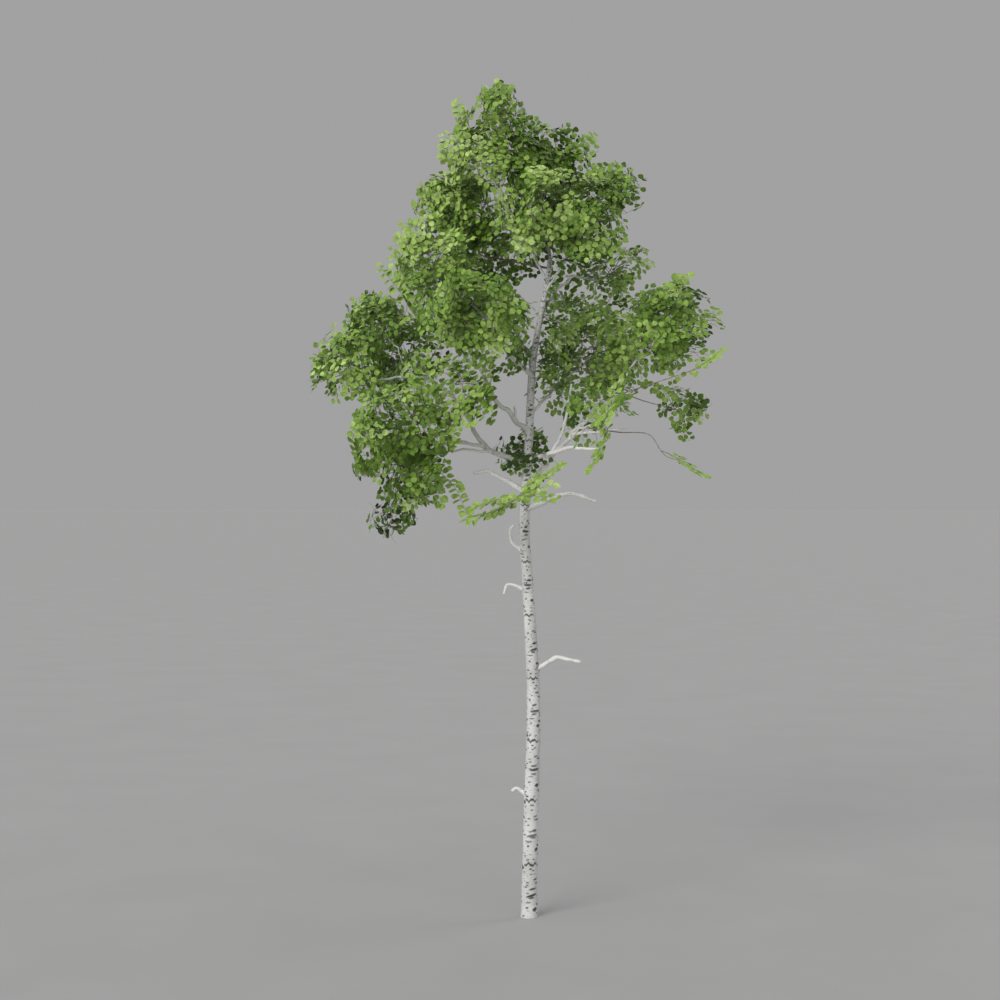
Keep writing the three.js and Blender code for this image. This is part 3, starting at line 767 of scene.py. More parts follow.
def make_dead_limb(name, turn, parent_name, place, reach, rise, drop, elbow, foot):
    root, _ = root_of(parent_name, place)
    out = heading(turn)
    bend = root + out * reach * elbow + UP * rise
    tip = root + out * reach + UP * (rise - drop)
    points = [root, *(lerp(root, bend, share) for share in DEAD_RISE_SHARES)]
    points += [lerp(bend, tip, DEAD_PAST_ELBOW), tip]
    if name in KNEES:
        back, up = KNEES[name]
        points.append(tip + out * back + UP * up)
    foot *= DEAD_FULLER
    return Limb(smooth_line(points), foot, foot * DEAD_TIP_SHARE)


outside = Outside()
tints = [[] for _ in TINTS]
twig_wood = Pile()
masses = [Mass(row, index) for index, row in enumerate(MASSES)]
for mass in masses:
    if mass.bow is not None:
        limbs[mass.name] = make_bough(mass)
dead_limbs = {row[0]: make_dead_limb(*row) for row in DEAD_LIMBS + SMALL_STUBS}
for mass in masses:
    mass.stem = make_stem(mass)
    mass.set_walls()


# The nearest limb to a point, so that leaves keep clear of wood
def limb_tree():
    points, radii = [], []
    for limb in [*limbs.values(), *dead_limbs.values()]:
        shares = np.linspace(0, 1, max(LIMB_FEWEST, round(limb.line.length / WOOD_TEST_STEP)))
        points.extend(limb.line.at(shares))
        radii.extend(limb.radius_at(shares))
    tree = kdtree.KDTree(len(points))
    for index, point in enumerate(points):
        tree.insert(Vector(point), index)
    tree.balance()
    return tree, radii


wood_tree, wood_radii = limb_tree()


def clear_of_wood(point):
    _, index, gap = wood_tree.find(Vector(point))
    return gap > wood_radii[index] + LEAF_LIMB_GAP


# Twigs of a mass: the source's twigs first, then finer ones inside the same space
Twig = namedtuple("Twig", "root tip along across sprays reach")


def spray_way(along, across, turn, lean):
    return lean_to(along, spin(across, along, turn), lean)


def ring_sizes(mass, tip, along, across, sprays, length):
    step = 2 * pi / len(sprays)
    sizes = []
    for k, (turn, lean, size) in enumerate(sprays):
        angles = [step * (k + 0.5 + shift) + turn for shift in SPRAY_WIDTH_TESTS]
        ends = np.array([spray_way(along, across, angle, lean) * length * size for angle in angles])
        fits = [share for share in SPRAY_SIZES if mass.holds(tip + ends * share)]
        sizes.append(fits[0] if fits else 0)
    return sizes


def draw_twig(mass, draw, index, share, last, reaches):
    root, ahead = mass.stem.line.at(share), mass.stem.line.ahead(share)
    turn = radians(index * GOLDEN_TURN) + radians(swing(draw, TWIG_TURN_JITTER))
    lean = (0 if last else radians(TWIG_LEAN)) + radians(swing(draw, TWIG_LEAN_JITTER))
    along = lean_to(ahead, spin(side_of(ahead), ahead, turn), lean)
    reach = lerp(reaches[1 if last else 0], reaches[1], draw())
    across = spin(side_of(along), along, 2 * pi * draw())
    sprays = []
    for _ in range(SPRAYS_PER_TWIG):
        spray_turn = radians(swing(draw, SPRAY_TURN_JITTER))
        spray_lean = radians(SPRAY_LEAN) + radians(swing(draw, SPRAY_LEAN_JITTER))
        sprays.append((spray_turn, spray_lean, 1 - SPRAY_SIZE_SPREAD * draw()))
    length = max(TWIG_LEAST, mass.room_along(root, along) * reach)
    spray_length = min(SPRAY_LENGTH, SPRAY_MOST_OF_SPACE * mass.size)
    for size in SPRIG_SIZES if mass.holds(root) else ():
        tip = root + along * length * size
        if not mass.holds(tip):
            continue
        fits = ring_sizes(mass, tip, along, across, sprays, spray_length * size)
        if any(fits):
            grown = [(turn, s * fit * spray_length * size) for (turn, _, s), fit in zip(sprays, fits)]
            return Twig(root, tip, along, across, grown, spray_length * size)
    return None


def grow_twigs(mass):
    tests = np.linspace(0, 1, STEM_TESTS)
    first = next((share for share in tests if mass.holds(mass.stem.line.at(share))), 0.5)
    count = max(FEWEST_TWIGS, round(4 * pi * mass.size**2 / SPACE_PER_TWIG))
    draw = random_from(mass.seed)
    twigs = []
    for i in range(count + 1):
        last = i == count
        share = lerp(first, 1, 1 if last else (i + 0.5) / count)
        twigs.append(draw_twig(mass, draw, i, share, last, TWIG_REACHES))
    finer = round(count * FINER_TWIGS * mass.fullness)
    draw = random_from(mass.seed + FINER_SEED)
    for i in range(finer):
        share = lerp(first, 1, (i + 0.5) / finer)
        twigs.append(draw_twig(mass, draw, i + 0.5, share, False, FINER_REACHES))
    return [twig for twig in twigs if twig]


# One leaf: petiole and blade, folded along its midrib, with one form for each way that it cups
def leaf_form(fold, camber):
    def bent(t, w):
        return (t, w, fold * abs(w) - camber * t * t)

    points = [bent(t, 0) for t in (0, *LEAF_MIDRIB, LEAF_TIP)]
    points += [bent(t, w) for t, w in LEAF_MARGIN]
    points += [bent(t, -w) for t, w in LEAF_MARGIN]
    faces = []
    for first, way in ((4, -1), (9, 1)):
        a, b, c, d, e = range(first, first + 5)
        side = [(0, a, 1), (a, b, 1), (b, c, 1), (c, 2, 1), (c, d, 2), (d, e, 2), (e, 3, 2)]
        faces += [face[::way] for face in side]
    stalk = len(points)
    for x, z, thick in PETIOLE_ENDS:
        points += [(x, thick * cos(a), z + thick * sin(a)) for a in PETIOLE_CORNERS]
    for k in range(3):
        n = (k + 1) % 3
        faces += [(stalk + k, stalk + n, stalk + 3 + n), (stalk + k, stalk + 3 + n, stalk + 3 + k)]
    return np.array(points, float), np.array(faces)


def leaf_pile(leaves):
    pile = Pile()
    places, axes, sizes, forms = (np.array(column) for column in zip(*leaves))
    for form, (fold, camber) in enumerate(LEAF_FORMS):
        points, faces = leaf_form(fold, camber)
        which = forms == form
        made = np.einsum("vk,lkx->lvx", points, axes[which]) * sizes[which][:, None, None]
        made += places[which][:, None]
        starts = np.arange(len(made))[:, None, None] * len(points)
        pile.add(made.reshape(-1, 3), (faces[None] + starts).reshape(-1, 3))
    return pile


# One leaf at a place, facing a way, unless it would leave its mass, or the crown's box, or touch a limb
def add_leaf(mass, place, out, normal, size, stalk, draw, leaves):
    size *= LEAF_LENGTH + swing(draw, LEAF_LENGTH_SPREAD)
    tilt = radians(LEAF_TILT)
    face = spin(normal, out, swing(draw, tilt))
    blade = spin(out, np.cross(face, out), swing(draw, tilt))
    face = unit(face - blade * (face @ blade))
    base = place + blade * stalk * size
    ends = np.array([base + blade * size / 2, base + blade * size])
    form = int(draw() * len(LEAF_FORMS))
    in_box = ((ends > BOX_LOW) & (ends < BOX_HIGH)).all()
    if in_box and mass.nearly_holds(ends) and clear_of_wood(ends[0]):
        leaves.append((base, (blade, np.cross(face, blade), face), size, form))


def in_gap(place):
    return any(norm((place - np.array(middle)) / half) < 1 for middle, half in GAPS)


def tint_index(tint):
    return int(min(max(tint, 0), len(TINTS) - 1))


def tint_of(place, painted_light, draw):
    """Painted light and shade: a lighter green toward the outside of the nearest mass and a darker one at
    its middle, for the crown's inner shade, with chance between sprays.
    """
    edge = min(mass.depth(place) for mass in masses)
    tint = MIDDLE_TINT + painted_light + PAINTED_EDGE_LIGHT * min(edge, TINT_FARTHEST)
    return tint_index(tint + swing(draw, TINT_JITTER))


# A rosette: the leaves of one short shoot, spread round it in a ring
def grow_rosette(mass, place, way, normal, draw, leaves):
    across = np.cross(normal, way)
    count = ROSETTE_LEAVES - int(ROSETTE_FEWER * draw())
    first = 360 * draw()
    for k in range(count):
        turn = first + 360 / count * k + swing(draw, ROSETTE_TURN_JITTER)
        out = lean_to(way, across, radians(turn))
        add_leaf(mass, place, out, normal, 1, PETIOLE, draw, leaves)


# A spray: a fine twig that ends in a rosette
def grow_spray(mass, start, way, normal, length, draw, leaves):
    normal = spin(normal, way, radians(swing(draw, SPRAY_ROLL)))
    end = start + way * length * SPRAY_REACH - UP * length * SPRAY_SAG
    bend = start + way * length * SPRAY_REACH / 2 + UP * length * SPRAY_ARCH
    add_wood("spray", bezier_line(start, bend, end), TWIG_TIP_RADIUS, TWIG_END_RADIUS)
    grow_rosette(mass, end, way, normal, draw, leaves)


# Sides by turns, and straight ahead at the last
def alternate(index, last):
    return 0 if index == last else 2 * (index % 2) - 1


# Leaves along both sides of a twig past its bare part, all facing one way
def line_leaves(mass, twig, bare, step, size, face, draw, leaves):
    face = unit(np.array(face))
    count = max(ROW_FEWEST, round(twig.length * (1 - bare) / step))
    for i in range(count + 1):
        share = lerp(bare, 1, i / count)
        place, way = twig.at(share), twig.ahead(share)
        forward = unit(way - face * (way @ face))
        lean = radians(lerp(*ROW_LEAF_LEANS, share)) * alternate(i, count)
        out = lean_to(forward, np.cross(face, forward), lean)
        if not in_gap(place):
            add_leaf(mass, place, out, face, size, ROW_STALK, draw, leaves)


# A frond: twigs on both sides of a mass's stem, near one plane, with single leaves along them
def grow_frond(mass, plane, face, lean, roll, step, draw):
    line = mass.stem.line
    count = max(FROND_FEWEST, round(line.length / step))
    for i in range(count + 1):
        start, ahead = line.at(i / count), line.ahead(i / count)
        upper = unit(np.array(plane) - ahead * (ahead @ np.array(plane)))
        turn = radians(lean + swing(draw, FROND_LEAN_JITTER)) * alternate(i, count)
        way = lean_to(ahead, np.cross(upper, ahead), turn)
        way = spin(way, ahead, radians(swing(draw, roll)))
        length = mass.room_along(start, way) * lerp(SPRAY_SHORTEST, 1, draw())
        if length < TWIG_LEAST:
            continue
        end = start + way * length
        bend = (start + end) / 2 + UP * FROND_ARCH * length
        twig = bezier_line(start, bend, end - UP * FROND_SAG * length)
        add_wood("frond", twig, TWIG_ROOT_RADIUS * FROND_TWIG_GIRTH, TWIG_END_RADIUS)
        leaves = tints[tint_of(end, mass.painted_light, draw)]
        line_leaves(mass, twig, FROND_BARE, FROND_LEAF_STEP, FROND_LEAF_SIZE, face, draw, leaves)


def grow_leafy_line(kind, line, face, draw):
    add_wood(kind, line, TWIG_ROOT_RADIUS, TWIG_END_RADIUS)
    line_leaves(outside, line, ROW_BARE, ROW_LEAF_STEP, ROW_LEAF_SIZE, face, draw, tints[ROW_TINT])


# A row: one twig on from a mass's stem, with leaves along it
def grow_row(mass, face, lift, draw):
    start = mass.stem.line.at(0.0)
    outward = unit(mass.middle - start)
    end = mass.middle + outward * ROW_REACH * mass.room_along(mass.middle, outward) + UP * lift
    grow_leafy_line("row", bezier_line(start, mass.middle, end), face, draw)


def grow_trails(draw):
    stems = {mass.name: mass.stem.line for mass in masses}
    for name, share, face, path in TRAILS:
        grow_leafy_line("trail", smooth_line([stems[name].at(share), *path]), face, draw)


# The sprays of a twig, each with its start, way and length: a flat fan round its tip and some before it
def fan_sprays(twig, face, across):
    step = 2 * pi / len(twig.sprays)
    sprays = []
    for k, (turn, length) in enumerate(twig.sprays):
        way = lean_to(across, np.cross(face, across), step * (k + 0.5) + turn)
        sprays.append((twig.tip, way, max(length, FAN_LEAST * twig.reach)))
    return sprays


def side_sprays(twig, line, draw):
    sprays = []
    for k in range(SIDE_SPRAYS):
        start = line.at(lerp(*SIDE_SHARES, k / (SIDE_SPRAYS - 1)))
        turn = radians(k * GOLDEN_TURN + SIDE_TURN_JITTER * draw())
        lean = radians(SIDE_LEAN + swing(draw, SIDE_LEAN_JITTER))
        way = spray_way(twig.along, twig.across, turn, lean)
        sprays.append((start, way, SIDE_LENGTH * lerp(SPRAY_SHORTEST, 1, draw())))
    return sprays


# A twig with its sprays, turned to the light and tilted by chance. It is left out if it has no leaves.
def grow_twig(mass, twig, draw, greens=tints):
    reach = norm(twig.tip - twig.root)
    bend = (twig.root + twig.tip) / 2 + twig.across * reach * swing(draw, TWIG_WAVER)
    line = bezier_line(twig.root, bend + UP * TWIG_ARCH * reach, twig.tip)
    face = unit(twig.along + mass.facing * TO_LIGHT + FAN_TILT * random_way(draw))
    across = unit(twig.across - face * (twig.across @ face))
    tint = tint_of(twig.tip, mass.painted_light, draw)
    sprays = fan_sprays(twig, face, across) + side_sprays(twig, line, draw)
    leafy = not in_gap(twig.tip)
    if leafy:
        grow_rosette(mass, twig.tip, across, face, draw, greens[tint])
    for start, way, length in sprays:
        normal = unit(face - way * (face @ way))
        leaves = greens[tint_index(tint + int(3 * draw()) - 1)]
        end = start + way * length
        kept = mass.fullness * (EDGE_KEPT if mass.depth(end) > EDGE else 1)
        if draw() < kept and not in_gap(end):
            grow_spray(mass, start, way, normal, length, draw, leaves)
            leafy = True
    if leafy:
        add_wood("twig", line, TWIG_ROOT_RADIUS, TWIG_TIP_RADIUS)


def grow_free_twig(root, ahead, turn, lean, length, draw, greens=tints):
    """A twig that leaves a limb outside any mass, with a whole ring of sprays."""
    along = spray_way(ahead, side_of(ahead), turn, radians(lean))
    across = spin(side_of(along), along, 2 * pi * draw())
    sprays = []
    for _ in range(SPRAYS_PER_TWIG):
        spray_turn = radians(swing(draw, SPRAY_TURN_JITTER))
        sprays.append((spray_turn, SPRAY_LENGTH * lerp(SPRAY_SHORTEST, 1, draw())))
    twig = Twig(root, root + along * length, along, across, sprays, SPRAY_LENGTH)
    grow_twig(outside, twig, draw, greens)


def grow_on_boughs(draw):
    for mass in masses:
        if mass.bow is None or mass.name in FRONDS or mass.name in ROWS:
            continue
        line, bare = limbs[mass.name].line, BARE.get(mass.name, BOUGH_BARE)
        count = round(line.length * (1 - bare) / BOUGH_TWIG_STEP)
        for i in range(count):
            share = lerp(bare, 1, (i + 0.5) / count)
            turn = radians(i * GOLDEN_TURN + FREE_TURN_JITTER * draw())
            length = BOUGH_TWIG_LENGTH * lerp(FREE_SHORTEST, 1, draw())
            root, ahead = line.at(share), line.ahead(share)
            grow_free_twig(root, ahead, turn, BOUGH_TWIG_LEAN, length, draw)


def grow_on_leader(draw):
    for i in range(LEADER_TWIGS):
        root = trunk_line.at(trunk_share(lerp(LEADER_FIRST, TRUNK_TOP, (i + 0.5) / LEADER_TWIGS)))
        turn = radians(i * GOLDEN_TURN + FREE_TURN_JITTER * draw())
        longest = LEADER_TWIG_LENGTH * lerp(1, LEADER_LAST_LENGTH, i / LEADER_TWIGS)
        length = longest * lerp(FREE_SHORTEST, 1, draw())
        grow_free_twig(root, UP, turn, LEADER_LEAN, length, draw)


def grow_sprouts(draw):
    # Painted shade: sprouts below SHADE_BELOW take greens that are SHADE_STEPS darker
    shaded = [tints[max(k - SHADE_STEPS, 0)] for k in range(len(tints))]
    for height, turn, length in SPROUTS:
        root = trunk_line.at(trunk_share(height))
        greens = shaded if height < SHADE_BELOW else tints
        grow_free_twig(root, UP, radians(turn) + pi / 2, LEADER_LEAN, length, draw, greens)


def grow_mass(mass):
    draw = random_from(mass.seed + LEAF_SEED)
    stem = mass.stem
    if mass.bow is None:
        add_wood("stem", stem.line, stem.foot, stem.tip)
    elif mass.girth < THIN_BOUGH:
        bough = limbs[mass.name]
        add_wood("thin_bough", joined_line(bough, stem), bough.foot, TWIG_TIP_RADIUS)
    if mass.name in FRONDS:
        grow_frond(mass, *FRONDS[mass.name], draw)
    elif mass.name in ROWS:
        grow_row(mass, *ROWS[mass.name], draw)
    else:
        for twig in grow_twigs(mass):
            grow_twig(mass, twig, draw)


# Materials
def linear(colour):
    shares = np.array(colour) / 255
    return (*np.where(shares <= 0.04045, shares / 12.92, ((shares + 0.055) / 1.055) ** 2.4), 1.0)


class Nodes:
    """A short way to add and link shader nodes."""

    def __init__(self, name):
        self.material = bpy.data.materials.new(name)
        self.material.use_nodes = True
        self.tree = self.material.node_tree
        self.shader = self.tree.nodes["Principled BSDF"]

    def add(self, kind, **values):
        node = self.tree.nodes.new(kind)
        for key, value in values.items():
            if key in node.inputs:
                node.inputs[key].default_value = value
            else:
                setattr(node, key, value)
        return node

    def link(self, source, target):
        self.tree.links.new(source, target)

    def noise(self, scale, detail, stretch=(1, 1, 1)):
        place = self.add("ShaderNodeTexCoord")
        mapping = self.add("ShaderNodeMapping", Scale=stretch)
        self.link(place.outputs["Object"], mapping.inputs["Vector"])
        node = self.add("ShaderNodeTexNoise", Scale=scale, Detail=detail)
        self.link(mapping.outputs["Vector"], node.inputs["Vector"])
        return node.outputs["Fac"]

    def ramp(self, factor, *stops):
        node = self.add("ShaderNodeValToRGB")
        for element, (place, colour) in zip(node.color_ramp.elements, stops):
            element.position = place
            element.color = linear(colour)
        self.link(factor, node.inputs["Fac"])
        return node.outputs["Color"]

    def mix(self, factor, first, second):
        node = self.add("ShaderNodeMix", data_type="RGBA")
        self.link(factor, node.inputs["Factor"])
        self.link(first, node.inputs[6])
        if isinstance(second, tuple):
            node.inputs[7].default_value = second
        else:
            self.link(second, node.inputs[7])
        return node.outputs[2]

    def bump(self, height, strength, distance):
        node = self.add("ShaderNodeBump", Strength=strength, Distance=distance)
        self.link(height, node.inputs["Height"])
        self.link(node.outputs["Normal"], self.shader.inputs["Normal"])

    def colour(self, source):
        self.link(source, self.shader.inputs["Base Color"])

    def roughness(self, factor, low, high):
        node = self.add("ShaderNodeMapRange", **{"To Min": low, "To Max": high})
        self.link(factor, node.inputs["Value"])
        self.link(node.outputs["Result"], self.shader.inputs["Roughness"])


def bark_material(name, marked):
    """Pale bark with warm clouds, fine level lenticels, and darker marks where the mesh has them."""
    pale, warm, dark = BARKS[name]
    nodes = Nodes(name)
    clouds = nodes.noise(5.0, 5.0, (1, 1, 0.5))
    colour = nodes.ramp(clouds, (0.32, warm), (0.62, pale))
    lines = nodes.ramp(nodes.noise(1.0, 2.0, (26, 26, 190)), (0.6, BLACK), (0.72, WHITE))
    colour = nodes.mix(lines, colour, linear(dark))
    if marked:
        mark = nodes.add("ShaderNodeAttribute", attribute_name="mark")
        ink = nodes.ramp(nodes.noise(60.0, 3.0, (1, 1, 2)), (0.3, dark), (0.7, np.array(dark) * 0.8))
        colour = nodes.mix(mark.outputs["Fac"], colour, ink)
    nodes.colour(colour)
    nodes.roughness(clouds, 0.62, 0.85)
    nodes.bump(nodes.noise(1.0, 4.0, (60, 60, 240)), 0.35, 0.002)
    return nodes.material


def twig_material():
    nodes = Nodes("twig_bark")
    clouds = nodes.noise(30.0, 3.0)
    nodes.colour(nodes.ramp(clouds, (0.35, TWIG_TONES[0]), (0.68, TWIG_TONES[1])))
    nodes.roughness(clouds, 0.55, 0.8)
    return nodes.material


def leaf_material(index):
    """One green of the crown, a little lighter and darker from place to place, with a soft waxy gloss."""
    nodes = Nodes(f"leaf_{index}")
    tone = np.array(TINTS[index])
    clouds = nodes.noise(22.0, 2.0)
    nodes.colour(nodes.ramp(clouds, (0.3, tone * 0.86), (0.7, tone * 1.12)))
    nodes.roughness(clouds, 0.42, 0.6)
    nodes.shader.inputs["Specular IOR Level"].default_value = 0.35
    return nodes.material


def floor_material():
    nodes = Nodes("floor")
    clouds = nodes.noise(0.6, 2.0)
    nodes.colour(nodes.ramp(clouds, (0.3, FLOOR_TONE * 0.98), (0.7, FLOOR_TONE)))
    nodes.shader.inputs["Roughness"].default_value = 0.9
    return nodes.material


# Trunk mesh with its relief, scars, bands and dashes
class Relief:
    """The trunk's skin as a grid of heights and turns, with the lift and the darkness of each point."""

    def __init__(self, heights, turns):
        self.heights = np.repeat(heights[:, None], len(turns), 1)
        self.turns = np.repeat(turns[None], len(heights), 0)
        self.radii = trunk_radius(self.heights)
        self.lift = np.zeros_like(self.heights)
        self.mark = np.zeros_like(self.heights)

    def near(self, height, turn, reach):
        """The rows near a height, and how far their points are from there, round the trunk and up."""
        rows = np.nonzero(np.abs(self.heights[:, 0] - height) < reach)[0]
        arc = (self.turns[rows] - turn + pi) % (2 * pi) - pi
        return rows, arc * self.radii[rows], self.heights[rows] - height

    def stamp(self, rows, dark, lift):
        self.mark[rows] = np.maximum(self.mark[rows], dark)
        self.lift[rows] += lift


def add_waves(relief, draw):
    for count, tall, size in TRUNK_WAVES:
        for _ in range(2):
            round_wave = np.cos(count * relief.turns + 2 * pi * draw())
            up_wave = np.cos(2 * pi * relief.heights / tall + 2 * pi * draw())
            relief.lift += size * relief.radii * round_wave * up_wave * 0.5


def stamp_eye(relief, height, turn, size):
    """A rounded diamond scar of a shed limb: a dark sunken eye in a raised rim."""
    rows, across, up = relief.near(height, turn, 0.12)
    shape = (np.abs(across) / (EYE_WIDTH * size)) ** EYE_SQUARENESS
    shape += (np.abs(up) / (EYE_HEIGHT * size)) ** EYE_SQUARENESS
    eye = np.clip(3.2 * (1 - shape), 0, 1)
    rim = np.exp(-(((shape - 1.25) / 0.4) ** 2))
    relief.stamp(rows, 0.9 * eye, 0.003 * size * rim - 0.004 * size * eye)


def stamp_band(relief, height, turn, reach, size, draw):
    """A wavy dark wrinkle that crosses part of the trunk."""
    rows, across, up = relief.near(height, turn, 0.1)
    share = across / (reach * relief.radii[rows])
    wave = size * (0.012 * np.cos(6.5 * share + 6 * draw()) + 0.005 * np.cos(14 * share + 6 * draw()))
    thick = BAND_HEIGHT * size * np.sqrt(np.clip(1 - share**2, 0, 1))
    line = np.clip(1.8 - 1.6 * np.abs(up - wave) / np.maximum(thick, 1e-4), 0, 1) * (thick > 0.001)
    relief.stamp(rows, 0.95 * line, -0.002 * line)


def stamp_dash(relief, height, turn, long, tall, slope, dark):
    rows, across, up = relief.near(height, turn, 0.06)
    shape = np.sqrt((across / long) ** 2 + ((up - slope * across) / tall) ** 2)
    dash = np.clip(3 * (1 - shape), 0, 1) * dark
    relief.stamp(rows, dash, 0.001 * dash)


def stamp_run(relief, height, turn, draw):
    """A run of dashes, longest near its middle, with an eye and a wavy band under them."""
    size = min(RUN_LARGEST, trunk_radius(height) / RUN_RADIUS)
    turn += swing(draw, RUN_TURN_JITTER)
    for up, offset, long, tall in RUN_DASHES:
        place = height + up + swing(draw, DASH_UP_JITTER)
        way = radians(turn + offset + swing(draw, DASH_TURN_JITTER))
        long *= DASH_LENGTH * size * lerp(*DASH_LENGTH_SHARES, draw())
        tall *= DASH_HEIGHT * lerp(0.8, 1, size)
        slope = DASH_SLOPE + swing(draw, DASH_SLOPE_JITTER)
        stamp_dash(relief, place, way, long, tall, slope, lerp(*DASH_TONES, draw()))
    eye, band = radians(turn + RUN_EYE[1]), radians(turn + RUN_BAND[1])
    stamp_eye(relief, height + RUN_EYE[0], eye, size * lerp(*EYE_SIZES, draw()))
    stamp_band(relief, height + RUN_BAND[0], band, lerp(*BAND_REACHES, draw()), max(size, 0.5), draw)


def add_marks(relief, draw):
    for index, turn in enumerate(RUN_TURNS):
        height = RUN_FIRST + index * RUN_STEP / len(RUN_TURNS)
        while height < TRUNK_TOP:
            stamp_run(relief, height, turn, draw)
            height += RUN_STEP * lerp(*RUN_STEP_SHARES, draw())
    for _ in range(int(SMALL_DASHES * TRUNK_TOP)):
        long, tall = lerp(*SMALL_DASH_LENGTHS, draw()), lerp(*SMALL_DASH_HEIGHTS, draw())
        height, turn = SMALL_DASH_TOP * draw(), 2 * pi * draw()
        slope = swing(draw, DASH_SLOPE_JITTER)
        stamp_dash(relief, height, turn, long, tall, slope, lerp(*SMALL_DASH_TONES, draw()))


def add_collars(relief):
    """A swelling under each limb's foot and a dark chevron over it."""
    feet = [limb for limb in limbs.values() if limb is not trunk] + list(dead_limbs.values())
    feet += [mass.stem for mass in masses if mass.bow is None and mass.place != TRUNK_TOP]
    for limb in feet:
        root = limb.line.at(0.0)
        axis = trunk_line.at(trunk_share(root[2]))
        if norm(root - axis) > 0.01:
            continue
        out = limb.line.at(trunk_radius(root[2]) / limb.line.length) - axis
        radius = limb.foot
        rows, across, up = relief.near(root[2] + out[2], atan2(out[1], out[0]), 0.16)
        swell = np.exp(-(across**2 + up**2 * 0.6) / (1.5 * radius) ** 2)
        chevron = np.abs(up - 1.5 * radius + 0.9 * np.abs(across)) / (0.3 * radius)
        dark = np.clip(1.4 - chevron, 0, 1) * (np.abs(across) < 2.6 * radius) * 0.75
        relief.stamp(rows, dark, 0.3 * radius * swell)


def make_trunk():
    heights = np.linspace(0, 1, TRUNK_RINGS) ** RING_CROWDING * TRUNK_TOP
    middles = trunk_line.at(trunk_share(heights))
    middles[:, 2] = heights
    turns = np.linspace(0, 2 * pi, TRUNK_SIDES, endpoint=False)
    relief = Relief(heights, turns)
    draw = random_from(MARK_SEED)
    add_waves(relief, draw)
    add_marks(relief, draw)
    add_collars(relief)
    ways = np.stack([np.cos(turns), np.sin(turns), np.zeros(TRUNK_SIDES)], -1)
    points = middles[:, None] + (relief.radii + relief.lift)[..., None] * ways
    points = np.vstack([points.reshape(-1, 3), middles[:1], middles[-1:]])
    faces = ring_faces(TRUNK_RINGS, TRUNK_SIDES)
    piece = make_piece("trunk_bark", points, faces, bark_material("trunk_bark", True), ["trunk"])
    attribute = piece.data.attributes.new("mark", "FLOAT", "POINT")
    attribute.data.foreach_set("value", np.append(relief.mark, [0, 0]).astype(np.float32))


# Boughs and dead limbs as tubes with knots, a swelling at the foot and a little crook
def limb_tube(line, stops, widths, draw, knots, sides, waver):
    shares = np.linspace(0, 1, max(LIMB_FEWEST, round(line.length / LIMB_STEP)))
    points = line.at(shares)
    along = shares * line.length
    ahead = line.ahead(0.5)
    side = side_of(ahead)
    fade = np.minimum(1, 5 * shares * (1 - shares))
    for axis in (side, np.cross(ahead, side)):
        for wave in WAVER_LENGTHS:
            shift = waver * wave * fade * np.sin(2 * pi * along / wave + 2 * pi * draw())
            points = points + axis * shift[:, None]
    radii = np.interp(shares, stops, widths)
    radii *= 1 + COLLAR * np.exp(-along / (COLLAR_REACH * radii[0]))
    for _ in range(knots):
        place, size = draw() * line.length, lerp(*KNOT_SIZES, draw())
        radii *= 1 + size * np.exp(-(((along - place) / (KNOT_REACH * radii)) ** 2))
    turns = np.linspace(0, 2 * pi, sides, endpoint=False)
    skin = np.ones((len(shares), sides))
    for size, count, twist in RIPPLES:
        skin += size * np.cos(count * turns + twist * along[:, None] + RIPPLE_PHASES * draw())
    return tube(points, radii[:, None] * skin, sides)


def make_boughs():
    pile = Pile()
    boughs = [mass for mass in masses if mass.bow is not None and mass.girth >= THIN_BOUGH]
    for mass in boughs:
        draw = random_from(mass.seed + BOUGH_SEED)
        bough = limbs[mass.name]
        line = joined_line(bough, mass.stem)
        stops = [0, bough.line.length / line.length, 1]
        widths = [bough.foot, bough.tip, STEM_TIP_RADIUS]
        knots = round(line.length * BOUGH_KNOTS)
        pile.add(*limb_tube(line, stops, widths, draw, knots, LIMB_SIDES, BOUGH_WAVER))
    names = [f"bough_{mass.name}" for mass in boughs]
    pile_piece("bough_bark", pile, bark_material("bough_bark", False), names)


def spur_tube(limb, draw):
    share = lerp(*SPUR_SHARES, draw())
    start, ahead = limb.line.at(share), limb.line.ahead(share)
    out = spin(side_of(ahead), ahead, 2 * pi * draw())
    way = lean_to(ahead, out, radians(SPUR_LEAN)) * lerp(*SPUR_LENGTHS, draw())
    line = bezier_line(start, start + way * SPUR_BEND, start + way + UP * norm(way) * SPUR_RISE)
    foot = SPUR_GIRTH * limb.radius_at(share)
    return limb_tube(line, (0, 1), (foot, foot * SPUR_TAPER), draw, 1, SPUR_SIDES, SPUR_WAVER)


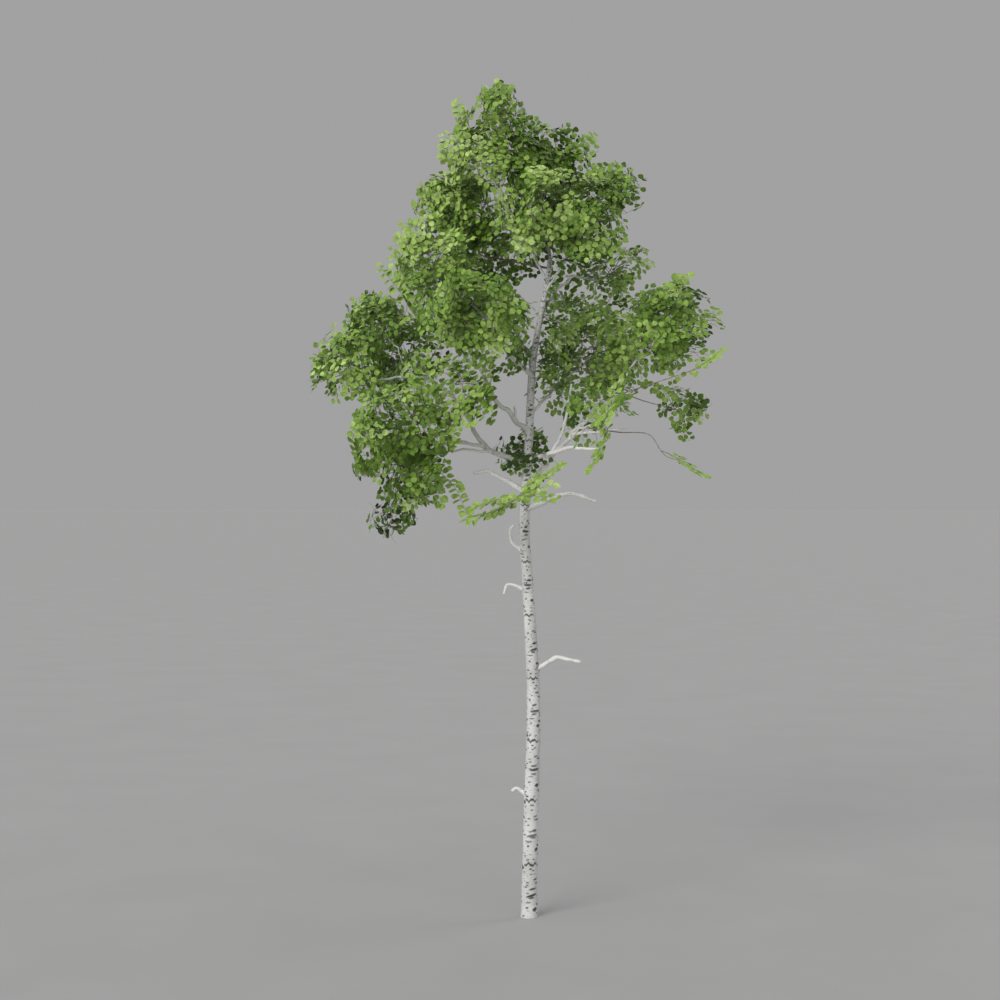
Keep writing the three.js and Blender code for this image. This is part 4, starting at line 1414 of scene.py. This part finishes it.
def make_dead_limbs():
    pile = Pile()
    for index, (name, limb) in enumerate(dead_limbs.items()):
        draw = random_from(MARK_SEED + DEAD_SEED_STEP * (index + 1))
        knots = round(limb.line.length * DEAD_KNOTS)
        widths = (limb.foot, limb.tip)
        pile.add(*limb_tube(limb.line, (0, 1), widths, draw, knots, LIMB_SIDES, DEAD_WAVER))
        if name == SPURRED:
            pile.add(*spur_tube(limb, draw))
    names = [row[0] for row in DEAD_LIMBS]
    pile_piece("dead_wood", pile, bark_material("dead_wood", False), names)


def make_foliage():
    for mass in masses:
        grow_mass(mass)
    draw = random_from(LEADER_SEED)
    for grow in (grow_on_boughs, grow_on_leader, grow_sprouts, grow_trails):
        grow(draw)
    names = [f"leaves_{mass.name}" for mass in masses]
    thin = [f"bough_{mass.name}" for mass in masses if mass.girth < THIN_BOUGH]
    pile_piece("twigs", twig_wood, twig_material(), names + thin)
    for index, leaves in enumerate(tints):
        pile_piece(f"leaves_{index}", leaf_pile(leaves), leaf_material(index), names)


# Stage: pale floor, a grey backdrop, soft light and the photo's view
def make_floor():
    turns = np.linspace(0, 2 * pi, FLOOR_SIDES, endpoint=False)
    rim = FLOOR_RADIUS * np.stack([np.cos(turns), np.sin(turns), np.zeros(FLOOR_SIDES)], -1)
    mesh = bpy.data.meshes.new("floor")
    mesh.from_pydata(rim, [], [list(range(FLOOR_SIDES))])
    mesh.materials.append(floor_material())
    floor = put("floor", mesh)


def make_studio():
    world = bpy.data.worlds.new("studio")
    world.use_nodes = True
    world.node_tree.nodes["Background"].inputs["Color"].default_value = WORLD_TONE
    bpy.context.scene.world = world
    for name, toward, power, spread, colour in SUNS:
        data = bpy.data.lights.new(name, "SUN")
        data.energy = power
        data.angle = radians(spread)
        data.color = colour
        put(name, data).rotation_euler = Vector(toward).to_track_quat("-Z", "Y").to_euler()


def make_camera():
    data = bpy.data.cameras.new("camera")
    data.lens = CAMERA_LENS
    data.sensor_width = CAMERA_SENSOR
    data.clip_end = CAMERA_FARTHEST
    camera = put("camera", data)
    camera.location = CAMERA_PLACE
    camera.rotation_euler = (radians(90), 0, 0)
    bpy.context.scene.camera = camera


bpy.context.scene.view_settings.view_transform = "Standard"
make_trunk()
make_boughs()
make_dead_limbs()
make_foliage()
make_floor()
make_studio()
make_camera()
